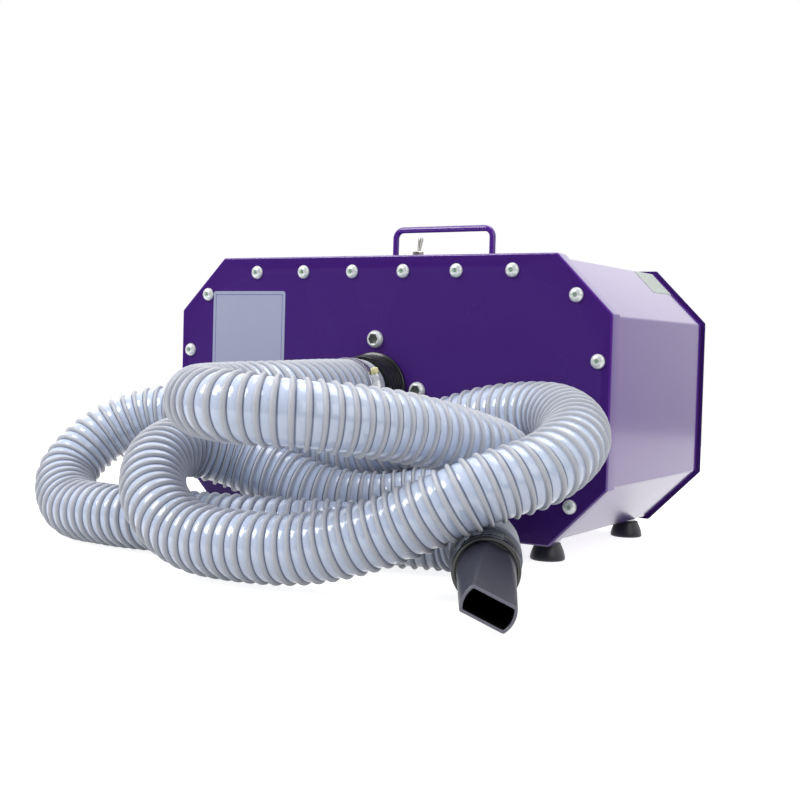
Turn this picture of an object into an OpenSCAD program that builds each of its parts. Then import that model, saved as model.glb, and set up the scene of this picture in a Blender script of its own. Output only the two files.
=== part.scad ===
// Two-motor pet dryer (forced-air blower): an eight-sided sheet steel cabinet on
// rubber feet, with a front outlet, a ribbed hose lying in a loose pile and a flat nozzle.
// Millimetres. +Z is up, -Y is the front, the origin is on the floor under the
// middle of the machine.

/* [Cabinet] */
// Width of the front lid
lid_w = 508; // [480:1:540]
// Height of the front lid
lid_h = 276; // [270:1:290]
// Leg of the lid's corner chamfers
lid_corner = 57; // [50:1:60]
// Depth of the lid's folded rim
lid_rim = 18; // [12:1:20]
// Depth from the lid's face to the rear cover
cab_d = 269; // [265:1:290]
// Thickness of the cabinet sheet
sheet = 1.5; // [1:0.1:2]
// How far the lid stands out all round past the body
lid_lap = 3.5; // [3:0.1:4.5]

/* [Fasteners] */
// Pitch of the lid screws along the top and bottom
screw_pitch = 60.5; // [56:0.5:62]
// Head radius of the lid screws
screw_head_r = 7; // [6:0.1:7.5]
// Head radius of the outlet screws
outlet_head_r = 9; // [8:0.1:9.5]

/* [Outlet and hose] */
// Height of the outlet axis above the middle of the lid
outlet_rise = 3; // [2:0.5:4]
// Outer radius of the hose over its ribs
hose_r = 30; // [28:0.5:30]
// Bore radius of the hose
hose_bore_r = 25.5; // [25.2:0.1:25.8]
// Radius of the outlet collar's flange
collar_r = 37.5; // [36:0.5:40]

/* [Handle and switch] */
// Distance between the axes of the handle's legs
handle_span = 121; // [100:1:140]
// Height of the handle bar's axis above the top panel
handle_rise = 42.5; // [38:0.5:55]
// Rod radius of the handle
handle_rod_r = 3.5; // [3:0.1:4]
// Lean of the toggle lever from upright
toggle_lean = 13.5; // [10:0.5:16]

/* [Motors] */
// Distance of each motor axis from the middle plane
motor_x = 115; // [105:1:120]
// Outer radius of the fan housings
fan_r = 72; // [68:1:74]
// Number of impeller blades
blades = 9; // [6:1:12]

/* [Feet] */
// Distance from the lid's side to the axis of a foot
foot_inset_x = 71; // [69:1:84]
// Distance from the lid's face to the axis of a front foot
foot_inset_y = 30.5; // [28:0.5:38]
// Height of a rubber foot
foot_h = 17; // [15:0.5:18]
// Thickness of the washer between foot and body
washer_t = 3.5; // [2:0.5:5]

/* [Hidden] */
$fn = 64;

purple = [0.24, 0.10, 0.43];
black = [0.05, 0.05, 0.06];
zinc = [0.75, 0.76, 0.78];
steel = [0.6, 0.6, 0.62];
brass = [0.72, 0.56, 0.28];
copper = [0.72, 0.40, 0.22];
hose_grey = [0.70, 0.72, 0.78];

front_y = -cab_d / 2;
rear_y = cab_d / 2;
gasket_t = 3;
cover_t = 2;
bend_loss = 2 - sqrt(2);
body_w = lid_w - 2 * lid_lap;
body_h = lid_h - 2 * lid_lap;
body_corner = lid_corner - bend_loss * lid_lap;
body_front_y = front_y + sheet + gasket_t;
body_rear_y = rear_y - gasket_t;
body_bottom_z = foot_h + washer_t;
body_top_z = body_bottom_z + body_h;
lid_z = body_bottom_z + body_h / 2;
flange_w = 24;

screw_row_z = lid_h / 2 - 16;
screw_side_x = lid_w / 2 - 13;
screw_side_z = 37.5;
screw_corner_x = lid_w / 2 - lid_corner / 2 - 7.9;
screw_corner_z = lid_h / 2 - lid_corner / 2 - 11;
rear_row_x = 2 * screw_pitch;
function mirrored(p) = [p, [-p[0], p[1]], [p[0], -p[1]], [-p[0], -p[1]]];
lid_points = concat(
    [for (side = [-1, 1], i = [0:5]) [(i - 2.5) * screw_pitch, side * screw_row_z]],
    mirrored([screw_corner_x, screw_corner_z]),
    mirrored([screw_side_x, screw_side_z]));
rear_points = concat(
    [for (side = [-1, 1], i = [-1:1]) [i * rear_row_x, side * screw_row_z]],
    mirrored([screw_corner_x, screw_corner_z]),
    [[-screw_side_x, 0], [screw_side_x, 0]]);
m8_r = 3.95;
m8_head_h = 4.4;
m8_len = 18;
m8_key_r = 2.9;
m8_nut_bore_r = 4.05;
rivet_r = 5.5;
rivet_head_r = 7.5;
rivet_head_t = 1;
hole_clear = 0.1;
nut_clear = 0.05;

outlet_z = lid_z + outlet_rise;
outlet_bolt_r = 50.5;
duct_flange_t = 5;
m10_r = 4.95;
collar_face_y = front_y - 23.5;
spigot_len = 34;
spigot_end_y = collar_face_y - spigot_len;
spigot_r = 23.4;
spigot_wall = 2;
clamp_y = collar_face_y - 24;
clamp_w = 12;
clamp_t = 0.8;
clamp_gap = 0.1;
clamp_box_angle = 15;

handle_z = body_top_z + handle_rise;
switch_y = front_y + 80.5;
switch_top_z = body_top_z + 13.5;
switch_bush_r = 5.95;
switch_base_z = body_top_z - 12.5;
switch_block = [18, 30, 24];
terminal_pitch = 9;
terminal_len = 9;
terminal_tip_z = switch_base_z - switch_block[2] - terminal_len;
toggle_pivot_z = body_top_z + 7.5;
toggle_ball_r = 3.8;
toggle_bore_r = 3.9;
toggle_len = 23;

motor_depth = 134.5;
motor_y = rear_y - motor_depth;
plate_y = motor_y + 68;
plate_t = 3;
mount_circle_r = 62;
eye_r = 35;
ring_t = 6;
fan_back_y = plate_y - ring_t;
fan_front_y = motor_y + 18;
fan_wall = 2;
shaft_r = 4;
shaft_gap = 0.03;
press_gap = 0.01;
bearing_r = 11;
bearing_w = 7;
wheel_back_y = motor_y + 30;
wheel_front_y = motor_y + 52;
boss_y = motor_y - 84;
core_y0 = motor_y - 48;
core_y1 = motor_y - 4;
bore_r = 25;
yoke_r = 44;
yoke_flat_x = 40;
pole_half_w = 15;
coil_in_x = 26;
coil_out_x = 33;
coil_h = 50;
drum_r = 12;
drum_y0 = motor_y - 72;
drum_y1 = motor_y - 54;
brush_box = [10, 11, 26];

filter_side = 54;
filter_rise = 78;
filter_w = lid_w - 2 * filter_side;
filter_h = lid_h - 2 * filter_rise;
filter_t = 14;

gland_inset = 20;
gland_x = filter_w / 2 - gland_inset;
gland_z = lid_z - filter_h / 2 - gland_inset;
gland_r = 10;
gland_end_y = rear_y + 57.5;
gland_bore_r = 4.2;

foot_r = 17;
foot_top_r = 12;
foot_screw_z = 3;
foot_head_h = 4;
foot_nut_h = 5;
m6_r = 2.95;

function octagon(w, h, c) = [
    [-w / 2 + c, -h / 2], [w / 2 - c, -h / 2], [w / 2, -h / 2 + c], [w / 2, h / 2 - c],
    [w / 2 - c, h / 2], [-w / 2 + c, h / 2], [-w / 2, h / 2 - c], [-w / 2, -h / 2 + c]];

// Eight-sided block of the lid's outline drawn in by `inset`, from y0 back to y1
module slab(inset, y0, y1) {
    translate([0, y1, lid_z])
        rotate([90, 0, 0])
            linear_extrude(y1 - y0)
                polygon(octagon(lid_w - 2 * inset, lid_h - 2 * inset,
                                lid_corner - bend_loss * inset));
}

// Cylinder along Y from y0 back to y1, at x and z
module rod_y(x, z, y0, y1, r, r_back = undef) {
    translate([x, y1, z])
        rotate([90, 0, 0])
            cylinder(h = y1 - y0, r1 = is_undef(r_back) ? r : r_back, r2 = r);
}

module ring_y(x, z, y0, y1, r_out, r_in) {
    difference() {
        rod_y(x, z, y0, y1, r_out);
        rod_y(x, z, y0 - 1, y1 + 1, r_in);
    }
}

module at_points(points) {
    for (p = points)
        translate([p[0], 0, lid_z + p[1]])
            children();
}

// Button-head screw along +Y with its seat at y = 0
module button_screw(head_r, head_h, shank_r, length, key_r) {
    crown_r = head_r * 0.52;
    difference() {
        rotate([90, 0, 0])
            rotate_extrude()
                polygon([[0, 0], [head_r, 0], [head_r, head_h * 0.22], [head_r * 0.93, head_h * 0.55],
                         [head_r * 0.78, head_h * 0.84], [crown_r, head_h], [0, head_h]]);
        translate([0, -head_h + 0.01 + head_h * 0.6, 0])
            rotate([90, 0, 0])
                cylinder(h = head_h, r = key_r, $fn = 6);
    }
    rod_y(0, 0, 0, length, shank_r);
}

module hex_nut_z(x, y, z, h, across_r, bore_r) {
    translate([x, y, z])
        difference() {
            cylinder(h = h, r = across_r, $fn = 6);
            translate([0, 0, -1])
                cylinder(h = h + 2, r = bore_r);
        }
}

module front_lid() {
    color(purple)
        difference() {
            slab(0, front_y, front_y + lid_rim);
            slab(sheet, front_y + sheet, front_y + lid_rim + 1);
            at_points(lid_points)
                rod_y(0, 0, front_y - 1, front_y + sheet + 1, m8_r + 0.5);
            rod_y(0, outlet_z, front_y - 1, front_y + sheet + 1, spigot_r + 1);
            outlet_bolts()
                rod_y(0, 0, front_y - 1, front_y + sheet + 1, m10_r + 0.5);
        }
}

module outlet_bolts() {
    for (a = [0:90:270])
        translate([outlet_bolt_r * cos(a), 0, outlet_z + outlet_bolt_r * sin(a)])
            children();
}

module body_shell() {
    color(purple)
        difference() {
            slab(lid_lap, body_front_y, body_rear_y);
            slab(lid_lap + sheet, body_front_y + sheet, body_rear_y - sheet);
            slab(lid_lap + flange_w, body_front_y - 1, body_rear_y + 1);
            at_points(lid_points)
                rod_y(0, 0, body_front_y - 1, body_front_y + sheet + 1, rivet_r + hole_clear);
            at_points(rear_points)
                rod_y(0, 0, body_rear_y - sheet - 1, body_rear_y + 1, rivet_r + hole_clear);
            for (side = [-1, 1])
                translate([side * handle_span / 2, 0, body_top_z - sheet - 1])
                    cylinder(h = sheet + 2, r = handle_rod_r + 0.25);
            translate([0, switch_y, body_top_z - sheet - 1])
                cylinder(h = sheet + 2, r = switch_bush_r + 0.15);
            foot_places()
                translate([0, 0, body_bottom_z - 1])
                    cylinder(h = sheet + 2, r = m6_r + 0.3);
        }
}

// Louvre slots that feed the two motors
module intake_slots(y0, y1) {
    slot_w = 5;
    slot_h = 92;
    slot_step = 12;
    for (side = [-1, 1], i = [-4:4])
        translate([side * motor_x + i * slot_step - slot_w / 2, y0, lid_z - slot_h / 2])
            cube([slot_w, y1 - y0, slot_h]);
}

module rear_cover() {
    color(purple)
        difference() {
            slab(0, rear_y, rear_y + cover_t);
            intake_slots(rear_y - 1, rear_y + cover_t + 1);
            at_points(rear_points)
                rod_y(0, 0, rear_y - 1, rear_y + cover_t + 1, m8_r + 0.5);
            rod_y(gland_x, gland_z, rear_y - 1, rear_y + cover_t + 1, gland_r + hole_clear);
        }
}

module gasket(y0, y1, points) {
    difference() {
        slab(lid_lap + 0.5, y0, y1);
        slab(lid_lap + flange_w - 1, y0 - 1, y1 + 1);
        at_points(points)
            rod_y(0, 0, y0 - 1, y1 + 1, rivet_head_r + 0.3);
    }
}

module front_gasket() {
    color(black)
        gasket(front_y + sheet, body_front_y, lid_points);
}

module rear_gasket() {
    color(black)
        gasket(body_rear_y, rear_y, rear_points);
}

module lid_screws() {
    color(zinc)
        translate([0, front_y, 0])
            at_points(lid_points)
                button_screw(screw_head_r, m8_head_h, m8_r, m8_len, m8_key_r);
}

module rear_screws() {
    color(zinc)
        translate([0, rear_y + cover_t, 0])
            at_points(rear_points)
                rotate([0, 0, 180])
                    button_screw(screw_head_r, m8_head_h, m8_r, m8_len, m8_key_r);
}

// Blind rivet nut pressed into a body flange, its head at y = 0 and its barrel along +Y
module rivet_nut() {
    barrel_len = 13;
    difference() {
        union() {
            rod_y(0, 0, 0, barrel_len, rivet_r);
            rod_y(0, 0, -rivet_head_t, 0, rivet_head_r);
        }
        rod_y(0, 0, -rivet_head_t - 1, barrel_len + 1, m8_nut_bore_r);
    }
}

module rivet_nuts() {
    color(brass) {
        translate([0, body_front_y, 0])
            at_points(lid_points)
                rivet_nut();
        translate([0, body_rear_y, 0])
            at_points(rear_points)
                rotate([0, 0, 180])
                    rivet_nut();
    }
}

module label_plate() {
    plate_w = 96.5;
    plate_h = 130;
    metal_t = 0.5;
    plate_top_z = lid_z + lid_h / 2 - 36;
    plate_mid_x = 92 - lid_w / 2;
    color([0.64, 0.66, 0.76])
        translate([plate_mid_x, front_y, plate_top_z - plate_h / 2])
            rotate([90, 0, 0])
                linear_extrude(metal_t)
                    polygon(octagon(plate_w, plate_h, 2));
}

module blank_sticker() {
    sticker_l = 55;
    sticker_w = 32;
    sticker_y = rear_y - 67.5;
    sticker_down = 22;
    panel_mid_x = body_w / 2 - body_corner / 2;
    panel_mid_z = body_top_z - body_corner / 2;
    color([0.72, 0.76, 0.72])
        translate([panel_mid_x, sticker_y, panel_mid_z])
            rotate([0, 45, 0])
                translate([-sticker_w / 2 - sticker_down, 0, 0])
                    cube([sticker_w, sticker_l, 0.3]);
}

module carry_handle() {
    bend_r = 9.5;
    leg_bottom_z = body_top_z - 14;
    leg_top_z = handle_z - bend_r;
    color(purple)
        for (side = [-1, 1])
            mirror([side < 0 ? 1 : 0, 0, 0]) {
                translate([handle_span / 2, 0, leg_bottom_z])
                    cylinder(h = leg_top_z - leg_bottom_z, r = handle_rod_r);
                translate([handle_span / 2 - bend_r, 0, leg_top_z])
                    rotate([90, 0, 0])
                        rotate_extrude(angle = 90)
                            translate([bend_r, 0])
                                circle(r = handle_rod_r);
                translate([0, 0, handle_z])
                    rotate([0, 90, 0])
                        cylinder(h = handle_span / 2 - bend_r, r = handle_rod_r);
            }
}

module handle_collars() {
    collar_h = 3;
    color(zinc)
        for (side = [-1, 1])
            translate([side * handle_span / 2, 0, body_top_z])
                difference() {
                    cylinder(h = collar_h, r = 8);
                    translate([0, 0, -1])
                        cylinder(h = collar_h + 2, r = handle_rod_r + nut_clear);
                }
}

module handle_nuts() {
    nut_h = 6;
    nut_r = 7.5;
    color(zinc)
        for (side = [-1, 1])
            hex_nut_z(side * handle_span / 2, 0, body_top_z - sheet - nut_h, nut_h, nut_r,
                      handle_rod_r + nut_clear);
}

module switch_body() {
    color(black)
        difference() {
            union() {
                translate([-switch_block[0] / 2, switch_y - switch_block[1] / 2,
                           switch_base_z - switch_block[2]])
                    cube(switch_block);
                translate([0, switch_y, switch_base_z])
                    cylinder(h = switch_top_z - switch_base_z, r = switch_bush_r);
            }
            translate([0, switch_y, toggle_pivot_z - 6])
                cylinder(h = switch_top_z - toggle_pivot_z + 7, r = toggle_bore_r);
        }
}

module switch_terminals() {
    tab_t = 0.8;
    tab_w = 6;
    color(brass)
        for (i = [-1:1])
            translate([-tab_t / 2, switch_y + i * terminal_pitch - tab_w / 2, terminal_tip_z])
                cube([tab_t, tab_w, terminal_len]);
}

module switch_nuts() {
    nut_h = 2.5;
    nut_r = 9.2;
    color(zinc)
        for (z = [body_top_z, body_top_z - sheet - nut_h])
            hex_nut_z(0, switch_y, z, nut_h, nut_r, switch_bush_r + nut_clear);
}

module toggle_lever() {
    tip_r = 2.9;
    root_r = 1.8;
    color(zinc)
        translate([0, switch_y, toggle_pivot_z])
            rotate([-toggle_lean, 0, 0]) {
                sphere(r = toggle_ball_r);
                cylinder(h = toggle_len - tip_r, r1 = root_r, r2 = tip_r);
                translate([0, 0, toggle_len - tip_r])
                    sphere(r = tip_r);
            }
}

module outlet_collar() {
    flange_t = 4;
    boss_root_r = 35;
    boss_tip_r = 33.5;
    lid_plug_y = front_y + sheet + 4;
    color(black)
        difference() {
            union() {
                rod_y(0, outlet_z, front_y - flange_t, front_y, collar_r);
                rod_y(0, outlet_z, collar_face_y, front_y - flange_t, boss_tip_r, boss_root_r);
                rod_y(0, outlet_z, spigot_end_y, collar_face_y, spigot_r);
                rod_y(0, outlet_z, front_y, lid_plug_y, spigot_r);
            }
            rod_y(0, outlet_z, spigot_end_y - 1, lid_plug_y + 1, spigot_r - spigot_wall);
        }
}

// Flanged bell mouth behind the lid that gathers the air from both motors
module outlet_duct() {
    flange_r = 62;
    horn_len = 22;
    horn_r = 40;
    y0 = front_y + sheet;
    horn_y = y0 + duct_flange_t;
    color(steel)
        difference() {
            union() {
                rod_y(0, outlet_z, y0, horn_y, flange_r);
                rod_y(0, outlet_z, horn_y, horn_y + horn_len, horn_r - 10, horn_r);
            }
            rod_y(0, outlet_z, y0 - 1, horn_y, spigot_r + hole_clear);
            rod_y(0, outlet_z, horn_y - 1, horn_y + horn_len + 1, spigot_r, horn_r - 2.5);
            outlet_bolts()
                rod_y(0, 0, y0 - 1, horn_y + 1, m10_r + 0.3);
        }
}

module outlet_screws() {
    head_h = 5.4;
    length = 20;
    key_r = 4.6;
    color(zinc)
        translate([0, front_y, 0])
            outlet_bolts()
                button_screw(outlet_head_r, head_h, m10_r, length, key_r);
}

module outlet_nuts() {
    nut_y = front_y + sheet + duct_flange_t;
    nut_h = 8;
    nut_r = 9;
    color(zinc)
        outlet_bolts()
            translate([0, nut_y, 0])
                rotate([-90, 0, 0])
                    hex_nut_z(0, 0, 0, nut_h, nut_r, m10_r + nut_clear);
}

// Bulkhead that parts the intake chamber from the pressure chamber
module motor_plate() {
    color(steel)
        difference() {
            slab(lid_lap + sheet, plate_y, plate_y + plate_t);
            for (side = [-1, 1]) {
                rod_y(side * motor_x, lid_z, plate_y - 1, plate_y + plate_t + 1, eye_r);
                mount_points(side)
                    rod_y(0, 0, plate_y - 1, plate_y + plate_t + 1, m6_r + 0.2);
            }
            rod_y(gland_x, gland_z, plate_y - 1, plate_y + plate_t + 1, 6);
        }
}

module mount_points(side) {
    for (a = [45:90:315])
        translate([side * motor_x + mount_circle_r * cos(a), 0, lid_z + mount_circle_r * sin(a)])
            children();
}

module plate_screws() {
    head_r = 5.2;
    head_h = 3.3;
    key_r = 2.2;
    color(zinc)
        for (side = [-1, 1])
            mount_points(side)
                translate([0, plate_y + plate_t, 0])
                    rotate([0, 0, 180])
                        button_screw(head_r, head_h, m6_r, plate_t + ring_t + fan_wall + 3, key_r);
}

module intake_filter() {
    color([0.2, 0.2, 0.22])
        translate([-filter_w / 2, rear_y - filter_t, lid_z - filter_h / 2])
            cube([filter_w, filter_t, filter_h]);
}

module filter_tray() {
    wall = 1.5;
    bar_w = 8;
    windows = 6;
    window_step = filter_w / windows;
    tray_y = rear_y - filter_t - wall;
    color(steel)
        difference() {
            translate([-filter_w / 2 - wall, tray_y, lid_z - filter_h / 2 - wall])
                cube([filter_w + 2 * wall, filter_t + wall, filter_h + 2 * wall]);
            translate([-filter_w / 2, rear_y - filter_t, lid_z - filter_h / 2])
                cube([filter_w, filter_t + 1, filter_h]);
            for (i = [0:windows - 1])
                translate([i * window_step + (bar_w - filter_w) / 2, tray_y - 1,
                           lid_z - filter_h / 2 + bar_w])
                    cube([window_step - bar_w, wall + 2, filter_h - 2 * bar_w]);
        }
}

module cable_gland() {
    inner_y = rear_y - 12;
    hex_y = rear_y + cover_t;
    hex_h = 6;
    color(black)
        difference() {
            union() {
                rod_y(gland_x, gland_z, inner_y, hex_y, gland_r);
                translate([gland_x, hex_y, gland_z])
                    rotate([-90, 0, 0])
                        cylinder(h = hex_h, r = 14, $fn = 6);
                rod_y(gland_x, gland_z, hex_y + hex_h, gland_end_y, gland_r + 1, gland_r - 3);
            }
            rod_y(gland_x, gland_z, inner_y - 1, gland_end_y + 1, gland_bore_r);
        }
}

module gland_nut() {
    nut_h = 5;
    color(black)
        translate([gland_x, rear_y - nut_h, gland_z])
            rotate([-90, 0, 0])
                hex_nut_z(0, 0, 0, nut_h, 13.5, gland_r + nut_clear);
}

terminal_size = [60, 22, 18];
terminal_at = [90, 20, body_bottom_z + sheet];
terminal_mid_y = terminal_at[1] + terminal_size[1] / 2;
terminal_entry_z = terminal_at[2] + 8;

module terminal_block() {
    color([0.85, 0.84, 0.78])
        difference() {
            translate(terminal_at)
                cube(terminal_size);
            for (i = [0:4])
                translate([terminal_at[0] + 8 + i * 11, terminal_mid_y, terminal_entry_z])
                    cylinder(h = terminal_size[2], r = 3);
        }
}

// Straight lengths of insulated wire joined by balls at their corners
module wire(points, r) {
    for (i = [0:len(points) - 2]) {
        d = points[i + 1] - points[i];
        length = norm(d);
        translate(points[i])
            rotate([0, acos(d[2] / length), atan2(d[1], d[0])])
                cylinder(h = length, r = r, $fn = 24);
        if (i > 0)
            translate(points[i])
                sphere(r = r + 0.15, $fn = 24);
    }
}

module wiring() {
    wire_r = 1.4;
    lane = terminal_pitch;
    color([0.1, 0.1, 0.5])
        for (i = [-1:1])
            wire([[0, switch_y + i * lane, terminal_tip_z], [0, switch_y + i * lane, lid_z + 60],
                  [0, i * lane, lid_z + 20], [0, i * lane, terminal_entry_z - i * 3],
                  [terminal_at[0], terminal_mid_y + i * 6, terminal_entry_z - i * 3]], wire_r);
}

module foot_places() {
    for (sx = [-1, 1], sy = [-1, 1])
        translate([sx * (lid_w / 2 - foot_inset_x), sy * (cab_d / 2 - foot_inset_y), 0])
            children();
}

module feet() {
    color(black)
        foot_places()
            difference() {
                cylinder(h = foot_h, r1 = foot_r, r2 = foot_top_r);
                translate([0, 0, -1])
                    cylinder(h = foot_screw_z + foot_head_h + 1, r = 7);
                cylinder(h = foot_h + 1, r = m6_r + 0.2);
            }
}

module foot_washers() {
    color(zinc)
        foot_places()
            translate([0, 0, foot_h])
                difference() {
                    cylinder(h = washer_t, r = 9);
                    translate([0, 0, -1])
                        cylinder(h = washer_t + 2, r = m6_r + 0.2);
                }
}

module foot_screws() {
    color(zinc)
        foot_places() {
            translate([0, 0, foot_screw_z])
                cylinder(h = foot_head_h, r = 5);
            translate([0, 0, foot_screw_z + foot_head_h])
                cylinder(h = body_bottom_z + sheet + foot_nut_h + 4 - foot_screw_z - foot_head_h,
                         r = m6_r);
        }
}

module foot_nuts() {
    color(zinc)
        foot_places()
            hex_nut_z(0, 0, body_bottom_z + sheet, foot_nut_h, 5.8, m6_r + nut_clear);
}

module mount_ring(side) {
    color(black)
        difference() {
            ring_y(side * motor_x, lid_z, fan_back_y, plate_y, fan_r - 4, eye_r + 3);
            mount_points(side)
                rod_y(0, 0, fan_back_y - 1, plate_y + 1, m6_r + 0.4);
        }
}

module fan_housing(side) {
    x = side * motor_x;
    front_t = 8;
    port_r = 9;
    port_circle_r = fan_r - 14;
    color([0.78, 0.79, 0.8])
        difference() {
            rod_y(x, lid_z, fan_front_y, fan_back_y, fan_r);
            rod_y(x, lid_z, fan_front_y + front_t, fan_back_y - fan_wall, fan_r - fan_wall);
            rod_y(x, lid_z, fan_back_y - fan_wall - 1, fan_back_y + 1, eye_r);
            rod_y(x, lid_z, fan_front_y - 1, fan_front_y + front_t + 1, bearing_r + nut_clear);
            for (a = [0:30:330])
                translate([x + port_circle_r * cos(a), 0, lid_z + port_circle_r * sin(a)])
                    rod_y(0, 0, fan_front_y - 1, fan_front_y + front_t + 1, port_r);
            mount_points(side)
                rod_y(0, 0, fan_back_y - fan_wall - 1, fan_back_y + 1, m6_r + 0.4);
        }
}

module impeller(side) {
    wheel_r = fan_r - 18;
    blade_in_r = 20;
    blade_t = 1.5;
    blade_lean = 18;
    disc_t = 1.5;
    hub_r = 10;
    hub_end_y = wheel_front_y + 4;
    color([0.8, 0.81, 0.83])
        translate([side * motor_x, 0, lid_z])
            difference() {
                union() {
                    rod_y(0, 0, wheel_back_y, wheel_back_y + disc_t, wheel_r);
                    ring_y(0, 0, wheel_front_y - disc_t, wheel_front_y, wheel_r, eye_r - 3);
                    rod_y(0, 0, wheel_back_y, hub_end_y, hub_r);
                    for (i = [0:blades - 1])
                        rotate([0, i * 360 / blades, 0])
                            translate([blade_in_r, wheel_back_y + disc_t / 2, -blade_t / 2])
                                rotate([0, side * blade_lean, 0])
                                    cube([wheel_r - blade_in_r - 3,
                                          wheel_front_y - wheel_back_y - disc_t, blade_t]);
                }
                rod_y(0, 0, wheel_back_y - 1, hub_end_y + 1, shaft_r + press_gap);
            }
}

module motor_shaft(side) {
    color(steel)
        rod_y(side * motor_x, lid_z, boss_y - 2, wheel_front_y + 5, shaft_r);
}

module armature(side) {
    core_r = bore_r - 1;
    slot_count = 12;
    slot_w = 2;
    slot_depth = 4;
    color(copper)
        translate([side * motor_x, 0, lid_z])
            difference() {
                rod_y(0, 0, core_y0, core_y1, core_r);
                rod_y(0, 0, core_y0 - 1, core_y1 + 1, shaft_r + press_gap);
                for (i = [0:slot_count - 1])
                    rotate([0, i * 360 / slot_count, 0])
                        translate([core_r - slot_depth, core_y0 - 1, -slot_w / 2])
                            cube([slot_depth + 1, core_y1 - core_y0 + 2, slot_w]);
            }
}

module commutator(side) {
    bar_count = 18;
    cut_w = 0.6;
    cut_depth = 1.5;
    color(copper)
        translate([side * motor_x, 0, lid_z])
            difference() {
                rod_y(0, 0, drum_y0, drum_y1, drum_r);
                rod_y(0, 0, drum_y0 - 1, drum_y1 + 1, shaft_r + press_gap);
                for (i = [0:bar_count - 1])
                    rotate([0, i * 360 / bar_count, 0])
                        translate([drum_r - cut_depth, drum_y0 - 1, -cut_w / 2])
                            cube([cut_depth + 1, drum_y1 - drum_y0 + 2, cut_w]);
            }
}

module stator(side) {
    color(steel)
        translate([side * motor_x, 0, lid_z])
            difference() {
                intersection() {
                    rod_y(0, 0, core_y0, core_y1, yoke_r);
                    translate([-yoke_flat_x, core_y0 - 1, -yoke_r])
                        cube([2 * yoke_flat_x, core_y1 - core_y0 + 2, 2 * yoke_r]);
                }
                rod_y(0, 0, core_y0 - 1, core_y1 + 1, bore_r);
                for (x = [-coil_out_x, pole_half_w])
                    translate([x, core_y0 - 1, -coil_h / 2])
                        cube([coil_out_x - pole_half_w, core_y1 - core_y0 + 2, coil_h]);
            }
}

// Two field windings that fill the stator's side windows and bulge past its ends
module field_coils(side) {
    overhang = 6;
    color(copper)
        translate([side * motor_x, 0, lid_z])
            for (x = [-coil_out_x, coil_in_x])
                translate([x, core_y0 - overhang, -coil_h / 2])
                    cube([coil_out_x - coil_in_x, core_y1 - core_y0 + 2 * overhang, coil_h]);
}

module bearings(side) {
    color(steel)
        for (y = [boss_y, fan_front_y])
            ring_y(side * motor_x, lid_z, y, y + bearing_w, bearing_r, shaft_r + shaft_gap);
}

module end_bracket(side) {
    post_r = 4;
    post_circle_r = yoke_r + post_r;
    plate_y0 = boss_y - 3;
    plate_y1 = boss_y + 2;
    port_r = 9;
    port_circle_r = 33;
    color([0.35, 0.36, 0.38])
        translate([side * motor_x, 0, lid_z])
            difference() {
                union() {
                    rod_y(0, 0, plate_y0, boss_y + bearing_w, bearing_r + 6);
                    rod_y(0, 0, plate_y0, plate_y1, yoke_r + 6);
                    for (a = [45:90:315])
                        translate([post_circle_r * cos(a), 0, post_circle_r * sin(a)])
                            rod_y(0, 0, boss_y, fan_front_y, post_r);
                    ring_y(0, 0, core_y0 + 4, core_y1 - 4, yoke_r + 4.5, yoke_r);
                    for (s = [-1, 1])
                        translate([-brush_box[0] / 2, boss_y, s * yoke_r - 2])
                            cube([brush_box[0], drum_y1 - boss_y - 3, 4]);
                }
                rod_y(0, 0, boss_y, boss_y + bearing_w + 1, bearing_r);
                rod_y(0, 0, plate_y0 - 1, boss_y + 1, bearing_r - 4);
                for (a = [0:60:300])
                    translate([port_circle_r * cos(a), 0, port_circle_r * sin(a)])
                        rod_y(0, 0, plate_y0 - 1, plate_y1 + 1, port_r);
            }
}

module brushes(side) {
    brush = [6, 7, 12];
    brush_tip_z = drum_r + 0.2;
    holder_z = 16;
    color(brass)
        translate([side * motor_x, (drum_y0 + drum_y1) / 2, lid_z])
            for (s = [-1, 1])
                mirror([0, 0, s < 0 ? 1 : 0]) {
                    translate([-brush[0] / 2, -brush[1] / 2, brush_tip_z])
                        cube(brush);
                    difference() {
                        translate([-brush_box[0] / 2, -brush_box[1] / 2, holder_z])
                            cube(brush_box);
                        translate([-brush[0] / 2 - nut_clear, -brush[1] / 2 - nut_clear, holder_z - 1])
                            cube([brush[0] + 2 * nut_clear, brush[1] + 2 * nut_clear,
                                  brush_box[2] + 2]);
                    }
                }
}

// Route of the hose's axis, from the outlet to the nozzle
hose_points = [
    [0, collar_face_y, outlet_z], [0, collar_face_y - 64, outlet_z], [-5, -285, 156],
    [-20, -342, 154], [-8, -398, 152], [38, -427, 150], [88, -417, 147], [127, -385, 142],
    [157, -340, 135], [181, -290, 123], [195, -243, 109], [184, -206, 90], [147, -186, 75],
    [98, -191, 61], [50, -208, 53], [0, -224, 58], [-50, -234, 74], [-92, -252, 90],
    [-114, -292, 101], [-102, -344, 88], [-68, -382, 60], [-18, -397, 37], [45, -398, 33],
    [105, -386, 37], [165, -368, 56], [226, -346, 86.5], [267, -302, 107], [267, -242, 129],
    [220, -185, 143], [150, -168, 138], [82, -168, 118], [10, -168, 96], [-60, -172, 104],
    [-130, -180, 118], [-190, -192, 125], [-238, -210, 120], [-274, -241, 96], [-281, -279, 61],
    [-244, -308, 35], [-190, -319, 32], [-130, -319, 32], [-60, -307, 32], [5, -292, 32],
    [60, -268, 32], [108, -249, 32], [150, -236, 32], [184, -247, 32.5], [208.8, -287.7, 32.8],
    [224.8, -317.7, 30.6]
];
hose_ribs = 176;
hose_sides = 8;
rib_depth = 2.6;
hose_last = len(hose_points) - 1;

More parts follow.
